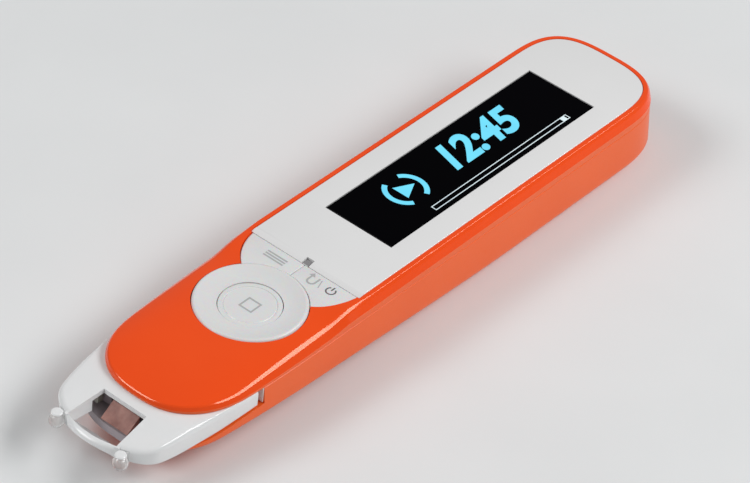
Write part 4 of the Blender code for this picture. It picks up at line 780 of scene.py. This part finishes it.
cyan = lit("screen_cyan", (0.16, 0.70, 0.95), 1.0)
pale = lit("screen_pale", (0.75, 0.88, 0.95), 0.95)
GLASS_TOP = PEN_TOP + 0.00001
play_centre, arc_radius, arc_width = (0.0105, 0.0009), 0.0036, 0.00095
arrow_x, arrow_half = (0.0091, 0.0128), 0.0018
play = flat_shape("play_sign", [
    arc_band(play_centre, arc_radius, arc_width, -62, 62),
    arc_band(play_centre, arc_radius, arc_width, 118, 242),
    [(arrow_x[0], play_centre[1] - arrow_half), (arrow_x[1], play_centre[1]),
     (arrow_x[0], play_centre[1] + arrow_half)],
], GLASS_TOP, cyan)
digit_size, digit_thick, digit_slant = 0.0088, 0.00028, 0.28
clock_place = (0.0292, 0.0010, GLASS_TOP + TYPE_HALF)
clock = words("played_time", "12:45", digit_size, clock_place, cyan, digit_thick, digit_slant)
near_x, far_x, low_y, high_y = 0.0100, 0.0464, -0.0062, -0.0050
line, knob_start, knob_end = 0.00016, 0.0017, 0.0006
inner_y = (low_y + line, high_y - line)
progress = flat_shape("progress_bar", [
    oblong((near_x, far_x), (low_y, low_y + line)),
    oblong((near_x, far_x), (high_y - line, high_y)),
    oblong((near_x, near_x + line), inner_y),
    oblong((far_x - line, far_x), inner_y),
    oblong((far_x - knob_start, far_x - knob_end), inner_y),
], GLASS_TOP, pale)
for piece in (play, clock, progress):
    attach(piece, "case")


# Navigation ring and centre button: satin translucent white plastic. The ring is dished
# with a soft rolled rim and rocks on its web, and the button has a fine groove round it.
key_white = moulded("key_white", (0.75, 0.75, 0.75), (0.77, 0.77, 0.77), (0.28, 0.34), grain=0.04,
                    fixed=(("IOR", 1.48), ("Subsurface Weight", 0.25), ("Subsurface Scale", 0.0008)))
pad_height, pad_lean = PEN_TOP - 0.00083, math.radians(-0.8)
PAD_PLACE = Matrix.Translation((PAD_X, 0.0, pad_height)) @ Matrix.Rotation(pad_lean, 4, "Y")


def turned(name, profile, material, place, steps=128, closed=True):
    """A piece turned about an upright axis at a place from (radius, height) points."""
    points, faces = [], []
    for radius, height in profile:
        points += [(x, y, height) for x, y in circle(radius, steps=steps)]
    rows = len(profile)
    for row in range(rows if closed else rows - 1):
        faces += wall(row * steps, (row + 1) % rows * steps, steps)
    if not closed:
        faces += [tuple(range(steps)), tuple(range((rows - 1) * steps, rows * steps))]
    piece = build(name, points, faces, material)
    piece.data.transform(place)
    return piece


bore, skirt, flange = 0.0054, 0.0090, 0.01025
skirt_low, flange_low, web_low = -0.0010, -0.0025, -0.0021
edge, proud, dish = 0.0005, 0.0007, 0.00065
edge_steps, dish_steps = 8, 24
profile = [(bore, skirt_low), (skirt, skirt_low), (skirt, flange_low), (flange, flange_low),
           (flange, web_low), (PAD_RADIUS, web_low)]
for c, s in quarter(edge_steps):
    profile.append((PAD_RADIUS - edge * (1 - c), proud - edge * (1 - s)))
for k in range(1, dish_steps + 1):
    share = k / dish_steps
    profile.append((PAD_RADIUS - edge + (bore + edge - PAD_RADIUS) * share,
                    proud - dish * math.sin(math.pi / 2 * share)))
rim = turned("nav_ring_skin", profile, key_white, PAD_PLACE)
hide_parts("nav_ring")
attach(rim, "pad_ring")

post, post_hole, post_low, button_low = 0.0014, 0.0005, -0.0026, -0.0019
button, soft, face, centre_hole = 0.00529, 0.00012, -0.00005, 0.0002
groove, groove_half, groove_deep = 0.0044, 0.00005, 0.00010
profile = [(post_hole, post_low), (post, post_low), (post, button_low), (button, button_low),
           (button, face - soft), (button - soft / 3, face - soft / 4), (button - soft, face)]
for radius, deep in ((groove + soft, 0.0), (groove + groove_half, groove_deep),
                     (groove - groove_half, groove_deep), (groove - 0.00014, 0.00002),
                     (0.0030, 0.00005), (0.0012, 0.00007), (centre_hole, 0.00007)):
    profile.append((radius, face - deep))
centre = turned("ok_button_skin", profile, key_white, PAD_PLACE, closed=False)
grey_print = moulded("grey_print", (0.44, 0.44, 0.44), (0.48, 0.48, 0.48), (0.4, 0.5))
outside, frame_wide, print_sunk, print_thick = 0.001375, 0.00030, 0.00006, 0.00002
inside = outside - frame_wide
square = flat_shape("stop_sign", [
    oblong((-outside, outside), (-outside, -inside)),
    oblong((-outside, outside), (inside, outside)),
    oblong((-outside, -inside), (-inside, inside)),
    oblong((inside, outside), (-inside, inside)),
], face - print_sunk, grey_print, print_thick)
square.data.transform(PAD_PLACE)
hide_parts("ok_button")
for piece in (centre, square):
    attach(piece, "ok")


# Wing keys: two satin white caps between the ring and the plate, each moulded with a
# stem that presses on the mat. The signs are printed in grey: menu lines on one, and a
# return arrow and a power sign on the other.
WING_TOP, wing_low, wing_clearance, wing_split = 0.0127, 0.0113, 0.0002, 0.00006
stem_radius, stem_x, stem_y, stem_z = 0.0010, -0.0197, 0.0065, (0.0096, 0.0115)
dark_print = moulded("dark_print", (0.16, 0.13, 0.13), (0.20, 0.17, 0.17), (0.4, 0.5))
for side, name, body in ((1, "menu_key", "menu"), (-1, "back_power_key", "back")):
    outline = wing_outline(side, wing_clearance, wing_split)
    key = prism(name + "_cap", outline, wing_low, WING_TOP, key_white)
    soften = key.modifiers.new("edge", "BEVEL")
    soften.width = 0.00014
    soften.segments = 3
    soften.limit_method = "ANGLE"
    soften.angle_limit = math.radians(40)
    bake(key, 40)
    stem = prism("stem", circle(stem_radius, (stem_x, side * stem_y), 48), *stem_z)
    carve(key, stem, mode="UNION", sharp=40)
    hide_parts(name)
    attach(key, body)

line_x, line_pitch, line_wide, line_y = -0.0190, 0.0006, 0.00032, (0.0024, 0.0066)
lines = [oblong((line_x + line_pitch * k, line_x + line_wide + line_pitch * k), line_y) for k in range(3)]
menu_sign = flat_shape("menu_sign", lines, WING_TOP, grey_print)
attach(menu_sign, "menu")

bend_x, bend_y, bend_radius, stroke = -0.0183, -0.0034, 0.00075, 0.00034
near_line, far_line, head_x, tail_x = (-0.00282, -0.00248), (-0.00432, -0.00398), -0.0173, -0.0170
arrow_head = [(head_x, -0.0020), (-0.0165, -0.00265), (head_x, -0.0033)]
slash = [(-0.0190, -0.0052), (-0.0188, -0.0053), (-0.0170, -0.0047), (-0.0172, -0.0046)]
arrow = flat_shape("return_sign", [
    arc_band((bend_x, bend_y), bend_radius, stroke, 90, 270),
    oblong((bend_x, head_x), near_line),
    oblong((bend_x, tail_x), far_line),
    arrow_head,
    slash,
], WING_TOP, grey_print)
power_x, power_y, power_radius, power_stroke = -0.0180, -0.00725, 0.00082, 0.00026
line_start, line_end = 0.0001, 0.0011
power = flat_shape("power_sign", [
    arc_band((power_x, power_y), power_radius, power_stroke, 35, 325),
    oblong((power_x + line_start, power_x + line_end),
           (power_y - power_stroke / 2, power_y + power_stroke / 2)),
], WING_TOP, dark_print)
for piece in (arrow, power):
    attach(piece, "back")


# Status light: a small square light pipe in the plate's front bevel, moulded in smoked
# plastic that looks grey when the light is off.
smoked = moulded("smoked_pipe", (0.24, 0.23, 0.24), (0.30, 0.29, 0.30), (0.2, 0.3))
finished(smoked, "status_lens")


# Clear tip: hollow polycarbonate nose, slightly milky, with a window over the lens,
# a thin lip above the arched mouth, and two side strips that slide in the case's notch.
milky = moulded("milky_clear", (0.94, 0.95, 0.955), (0.96, 0.97, 0.975), (0.06, 0.10), coarse=150.0,
                fixed=(("Transmission Weight", 0.16), ("IOR", 1.45), ("Coat Weight", 0.4)))
NOSE_X, NOSE_RUN, NOSE_WALL = -0.0660, 0.0055, 0.0011
TOP_FALL, LIP_LIFT, LIP_RUN = 0.0014, 0.0014, 0.0095


def tip_top(x):
    """Height of the nose's top, which falls away ahead of the fascia."""
    run = min(max((FASCIA_X - x) / (FASCIA_X - TIP_X), 0.0), 1.0)
    return PARTING - GAP - TOP_FALL * run


def tip_bottom(x):
    """Height of the nose's lower edge, which curves up at its front."""
    return tip_line(x) + GAP + LIP_LIFT * (max(NOSE_X + LIP_RUN - x, 0.0) / LIP_RUN)**2


rim_inset, round_inset, round_share, round_steps = 0.0002, 0.0010, 0.28, 10
strip_loss, strip_start_x, strip_blend = 0.7, -0.055, 0.006
levels = [(rim_inset, 0.0)]
for c, s in quarter(round_steps):
    levels.append((round_inset * (1 - c), 1 - round_share * (1 - s)))
outline = case_plan(NOSE_X, NOSE_RUN, FRONT_POWER, 0.0, STRIP_END_X)
rings = []
for inset, share in levels:
    moved = case_plan(NOSE_X, NOSE_RUN, FRONT_POWER, inset, STRIP_END_X)
    level = []
    for (x, y), (near_x, near_y) in zip(outline, moved):
        tight = 1 - strip_loss * eased((x - strip_start_x) / strip_blend)
        x, y = x + (near_x - x) * tight, y + (near_y - y) * tight
        level.append((x, y, tip_bottom(x) + (tip_top(x) - tip_bottom(x)) * share))
    rings.append(level)
nose = loft("nose_shell", rings, milky)

front_wall, room_end_x, lap_inset, nose_roof = 0.0010, -0.0405, 0.0008, 0.0009
room = case_plan(NOSE_X + front_wall - NOSE_WALL, NOSE_RUN, FRONT_POWER, NOSE_WALL, room_end_x)
lap = case_plan(*FASCIA_FRONT, lap_inset, room_end_x)
window_front_x, window_rear_x, front_half, rear_half = -0.0651, -0.0581, 0.0052, 0.0045
window = [(window_front_x, front_half), (window_rear_x, rear_half),
          (window_rear_x, -rear_half), (window_front_x, -front_half)]
mouth_front_x, mouth_half, arch_foot, arch_rise, arch_steps = -0.0685, 0.0053, 0.0056, 0.0018, 32
arch = [(mouth_half, 0.0)]
for k in range(arch_steps + 1):
    angle = math.pi * k / arch_steps
    arch.append((mouth_half * math.cos(angle), arch_foot + arch_rise * math.sin(angle)))
arch.append((-mouth_half, 0.0))
carve(
    nose,
    loft("nose_room", [ring(room, 0.0), ring(room, lambda x, y: tip_top(x) - nose_roof)]),
    prism("fascia_room", lap, CORE_TOP, OVER),
    prism("window", window, 0.0, OVER),
    along_x(prism("mouth", arch, mouth_front_x, window_front_x)),
)

FOOT_X, FOOT_Y = -0.0662, 0.0068
cap_radius, cap_z, cap_edge = 0.0010, (0.0078, 0.00835), 0.0003
socket_radius, socket_top, peg_steps = 0.0016, 0.0081, 48
lug_x, lug_z, lug_play, lug_end_x = (-0.0470, -0.0456), (0.0066, 0.0092), 0.00055, -0.047
rib_front_x, rib_rear_x, rib_z = -0.0655, -0.0605, (0.0061, 0.0084)
rib_outline = [(rib_front_x, 0.00523), (rib_rear_x, 0.00471), (rib_rear_x, 0.0053), (rib_front_x, 0.0058)]
for side in (1, -1):
    foot_place = (FOOT_X, side * FOOT_Y)
    cap = prism("cap", circle(cap_radius, foot_place, peg_steps), *cap_z)
    soften = cap.modifiers.new("edge", "BEVEL")
    soften.width = cap_edge
    soften.segments = 4
    bake(cap)
    carve(nose, cap, mode="UNION")
    carve(nose, prism("socket", circle(socket_radius, foot_place, peg_steps), 0.0, socket_top))
    lug_y = sorted((side * LUG_INNER, side * (half_width(lug_end_x) - lug_play)))
    carve(
        nose,
        block("lug", lug_x, lug_y, lug_z),
        prism("window_wall", [(x, side * y) for x, y in rib_outline], *rib_z),
        mode="UNION",
    )
bow_x, bow_run, bow_depth, bow_half = -0.0625, 0.0026, 0.0013, 0.0060
for vertex in nose.data.vertices:
    ahead = eased((bow_x - vertex.co.x) / bow_run)
    vertex.co.x -= bow_depth * ahead * max(1 - (vertex.co.y / bow_half)**2, 0)
smoothed(nose)
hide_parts("clear_tip")
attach(nose, "tip")


# Feet: two clear polycarbonate pegs with round ends at the nose's front corners. They are
# pressed into its sockets and slide on the page.
clear = moulded("clear_foot", (0.95, 0.94, 0.93), (0.97, 0.96, 0.95), (0.04, 0.08), coarse=150.0,
                fixed=(("Transmission Weight", 0.7), ("IOR", 1.35), ("Coat Weight", 0.4)))
ball_radius, ball_height, ball_steps = 0.0013, 0.0065, 24
profile = []
for k in range(1, ball_steps):
    angle = math.pi * k / ball_steps
    profile.append((ball_radius * math.sin(angle), ball_height - ball_radius * math.cos(angle)))
for side, name in ((1, "foot_left"), (-1, "foot_right")):
    foot = turned(name + "_ball", profile, clear, Matrix.Translation((FOOT_X, side * FOOT_Y, 0)),
                  peg_steps, closed=False)
    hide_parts(name)
    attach(foot, "tip")


# Painted shade of the optics: a thin sheet folded over the lower case's front end inside the
# nose, and another on the core, in a dark grey that stands in for the shade seen through the window and
# hides the orange.
# The sheets' dark grey-purple colour is painted shade.
painted_shade_grey = moulded("painted_shade_sheet", (0.34, 0.29, 0.31), (0.38, 0.33, 0.35), (0.5, 0.6))
fold_outer, fold_inner, fold_lift, fold_z = -0.00056, -0.00043, 0.00003, (0.0039, 0.00545)
outer_end_x, inner_end_x, fold_rear_x = -0.0406, -0.0400, -0.0563
left_end_y, right_end_y, clear_x, clear_rear_x, clear_y = 0.0071, -0.0044, (-0.07, -0.05), -0.03, 0.02
shade = prism("painted_optics_shade", case_plan(*LOWER_FRONT, fold_outer, outer_end_x), *fold_z, painted_shade_grey)
fold_room = case_plan(*LOWER_FRONT, fold_inner, inner_end_x)
carve(
    shade,
    loft("inside", [ring(fold_room, 0.0), ring(fold_room, lambda x, y: tip_line(x) + fold_lift)]),
    block("behind", (fold_rear_x, clear_rear_x), (-clear_y, clear_y), (0.0, OVER)),
    block("left_side", clear_x, (left_end_y, clear_y), (0.0, OVER)),
    block("right_side", clear_x, (-clear_y, right_end_y), (0.0, OVER)),
)
core_outer, core_inner, core_z, eye_x = 0.00147, 0.00157, (0.0055, 0.0081), (-0.07, -0.0542)
core_end_x, core_room_end_x = -0.0510, -0.0500
# The sheet on the core is the same painted shade.
front = prism("painted_core_shade", case_plan(*CORE_FRONT, core_outer, core_end_x), *core_z, painted_shade_grey)
carve(
    front,
    prism("core_room", case_plan(*CORE_FRONT, core_inner, core_room_end_x), 0.0, OVER),
    block("eye", eye_x, (-EYE_HALF, EYE_HALF), (0.0, OVER)),
)
for piece in (shade, front):
    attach(piece, "case")


# Notch ends: two thin pale plastic stops, glued into the ends of the lower case's notch.
# The tip's side strips come up against them at the end of their travel.
stop_white = moulded("pale_stop", (0.80, 0.72, 0.68), (0.84, 0.76, 0.72), (0.3, 0.4))
stop_x, stop_z, stop_deep, stop_sunk = (-0.04043, -0.04022), (0.00665, 0.00955), 0.0020, 0.00005
edge_at_x = -0.0403
notch_edge = half_width(edge_at_x)
for side, name in ((1, "left_stop"), (-1, "right_stop")):
    stop_y = sorted((side * (notch_edge - stop_deep), side * (notch_edge - stop_sunk)))
    stop = block(name, stop_x, stop_y, stop_z, stop_white)
    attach(stop, "case")


# Tip springs: two small coils of steel wire, one behind each lug of the tip's side strips.
# They push the tip forward, and are squeezed by a millimetre when it is pressed on a page.
steel = moulded("plain_steel", (0.52, 0.52, 0.53), (0.60, 0.60, 0.61), (0.22, 0.34),
                fixed=(("Metallic", 1.0),), stretch=(1, 8, 8))
coil_front_x, coil_rear_x, coil_y, coil_z, held_x = -0.0453, -0.0410, 0.0089, 0.0074, -0.04101
coil_radius, wire, turns, per_turn, wire_sides = 0.0009, 0.00015, 5, 20, 10
end_share, end_length = 0.2, 0.08


def coil_run(share):
    """Share of the coil's length that a share of its turns takes, with close end turns."""
    near = min(share, 1 - share)
    if near < end_share:
        run = end_length * near / end_share
    else:
        run = end_length + (0.5 - end_length) * (near - end_share) / (0.5 - end_share)
    return run if share < 0.5 else 1 - run


coil_steps, coil_length = turns * per_turn, coil_rear_x - coil_front_x - 2 * wire
for side, name in ((1, "tip_spring_left"), (-1, "tip_spring_right")):
    points, faces = [], []
    for k in range(coil_steps + 1):
        angle = 2 * math.pi * k / per_turn
        out = Vector((0, math.cos(angle), math.sin(angle)))
        middle_x = coil_front_x + wire + coil_length * coil_run(k / coil_steps)
        middle = Vector((middle_x, side * coil_y, coil_z))
        for i in range(wire_sides):
            around = 2 * math.pi * i / wire_sides
            along = Vector((wire * math.sin(around), 0, 0))
            points.append(middle + (coil_radius + wire * math.cos(around)) * out + along)
    for k in range(coil_steps):
        faces += wall(k * wire_sides, (k + 1) * wire_sides, wire_sides)
    faces += [tuple(range(wire_sides)), tuple(range(len(points) - wire_sides, len(points)))]
    coil = build(name + "_coil", points, faces, steel)
    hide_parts(name)
    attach(coil, "case")
    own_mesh(coil)


# Case screws: four steel screws with cross recesses, driven up from the belly into the
# upper case's posts. Their heads lie sunk in the belly.
head_radius, head_height, head_edge, shank_radius, shank_top = 0.0015, 0.0010, 0.0003, 0.0006, 0.0084
head_sunk, recess_low, recess_deep = 0.0005, 0.001, 0.0005
recess_long, recess_wide = 0.0009, 0.0002
for k, (x, y) in enumerate(SCREW_PLACES):
    sunk = belly_height(x) + head_sunk
    profile = [(head_radius - head_edge, sunk), (head_radius - head_edge / 3, sunk + head_edge / 3),
               (head_radius, sunk + head_edge), (head_radius, sunk + head_height),
               (shank_radius, sunk + head_height), (shank_radius, shank_top)]
    screw = turned(f"case_screw_{k + 1}_steel", profile, steel, Matrix.Translation((x, y, 0)),
                   48, closed=False)
    carve(screw, *[block("recess", (x - a, x + a), (y - b, y + b), (sunk - recess_low, sunk + recess_deep))
                   for a, b in ((recess_long, recess_wide), (recess_wide, recess_long))])
    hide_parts(f"case_screw_{k + 1}")
    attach(screw, "case")


# Scan optics: a dark bezel and light tunnel behind the tip's window, a slanted slip of
# reddish-brown acrylic that guides the light, the lens in its black barrel, the sensor's
# board and two small lights.
bezel = moulded("bezel_inner", (0.30, 0.25, 0.27), (0.36, 0.30, 0.32), (0.4, 0.5))
amber = moulded("amber_inner", (0.21, 0.065, 0.045), (0.42, 0.190, 0.150), (0.45, 0.55), coarse=420.0)
coated = moulded("coated_lens", (0.02, 0.03, 0.07), (0.03, 0.02, 0.08), (0.02, 0.04))
black = moulded("black_inner", (0.020, 0.017, 0.020), (0.030, 0.026, 0.030), (0.4, 0.5))
green = moulded("board_inner", (0.015, 0.10, 0.04), (0.02, 0.13, 0.05), (0.3, 0.4))
lamp_white = moulded("light_inner", (0.24, 0.22, 0.19), (0.30, 0.28, 0.24), (0.3, 0.4))
finished(bezel, "optics_housing")
finished(amber, "light_guide")
finished(coated, "scan_lens")
finished(black, "lens_barrel")
finished(green, "sensor_board")
finished(lamp_white, "scan_light_left", "scan_light_right")


# Works of the keys and of the tip: a silicone key mat and the ring's silicone web over a
# sheet of steel snap domes, and the black scan switch with its white plunger.
silicone = moulded("silicone_inner", (0.50, 0.51, 0.51), (0.55, 0.56, 0.56), (0.5, 0.6))
plug_white = moulded("plug_inner", (0.65, 0.65, 0.62), (0.7, 0.7, 0.67), (0.3, 0.4))
finished(silicone, "key_mat", "nav_pivot_web")
finished(steel, "dome_sheet")
finished(black, "scan_switch")
finished(plug_white, "switch_plunger")


# Works of the display: the black panel on its pale carrier, with a foam gasket between it
# and the plate, and a brown flex that folds back under it.
panel_black = moulded("panel_inner", (0.004, 0.004, 0.005), (0.008, 0.008, 0.009), (0.1, 0.15))
foam = moulded("foam_inner", (0.02, 0.02, 0.02), (0.05, 0.05, 0.05), (0.8, 0.95))
flex_brown = moulded("flex_inner", (0.42, 0.18, 0.03), (0.48, 0.22, 0.04), (0.3, 0.4))
finished(panel_black, "display_panel")
finished(silicone, "display_carrier")
finished(foam, "display_gasket")
finished(flex_brown, "display_flex")


# Main board: green glass laminate with the status light on top, and a steel shield can
# and three black chips soldered to its underside.
finished(green, "main_board")
finished(black, "memory_chip", "power_chip", "audio_chip")
finished(steel, "shield_can")
finished(lamp_white, "status_light")


# Battery: a pouch cell in crinkled foil on the lower case's floor, with two short black
# leads to a white plug under the board.
foil = moulded("battery_foil", (0.50, 0.50, 0.52), (0.62, 0.62, 0.64), (0.3, 0.5),
               grain=0.3, depth=0.0001, fixed=(("Metallic", 0.9),))
finished(foil, "battery")
finished(black, "battery_lead_plus", "battery_lead_minus")
finished(plug_white, "battery_plug")


# Sound and sockets: a flat black speaker on a foam ring over the belly's slots, and a
# black headphone socket and a steel charging socket at the rear end.
finished(black, "speaker", "headphone_socket")
finished(foam, "speaker_gasket")
finished(steel, "usb_socket")


# Size: the corners of the box round the dressed pen.
low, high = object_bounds()
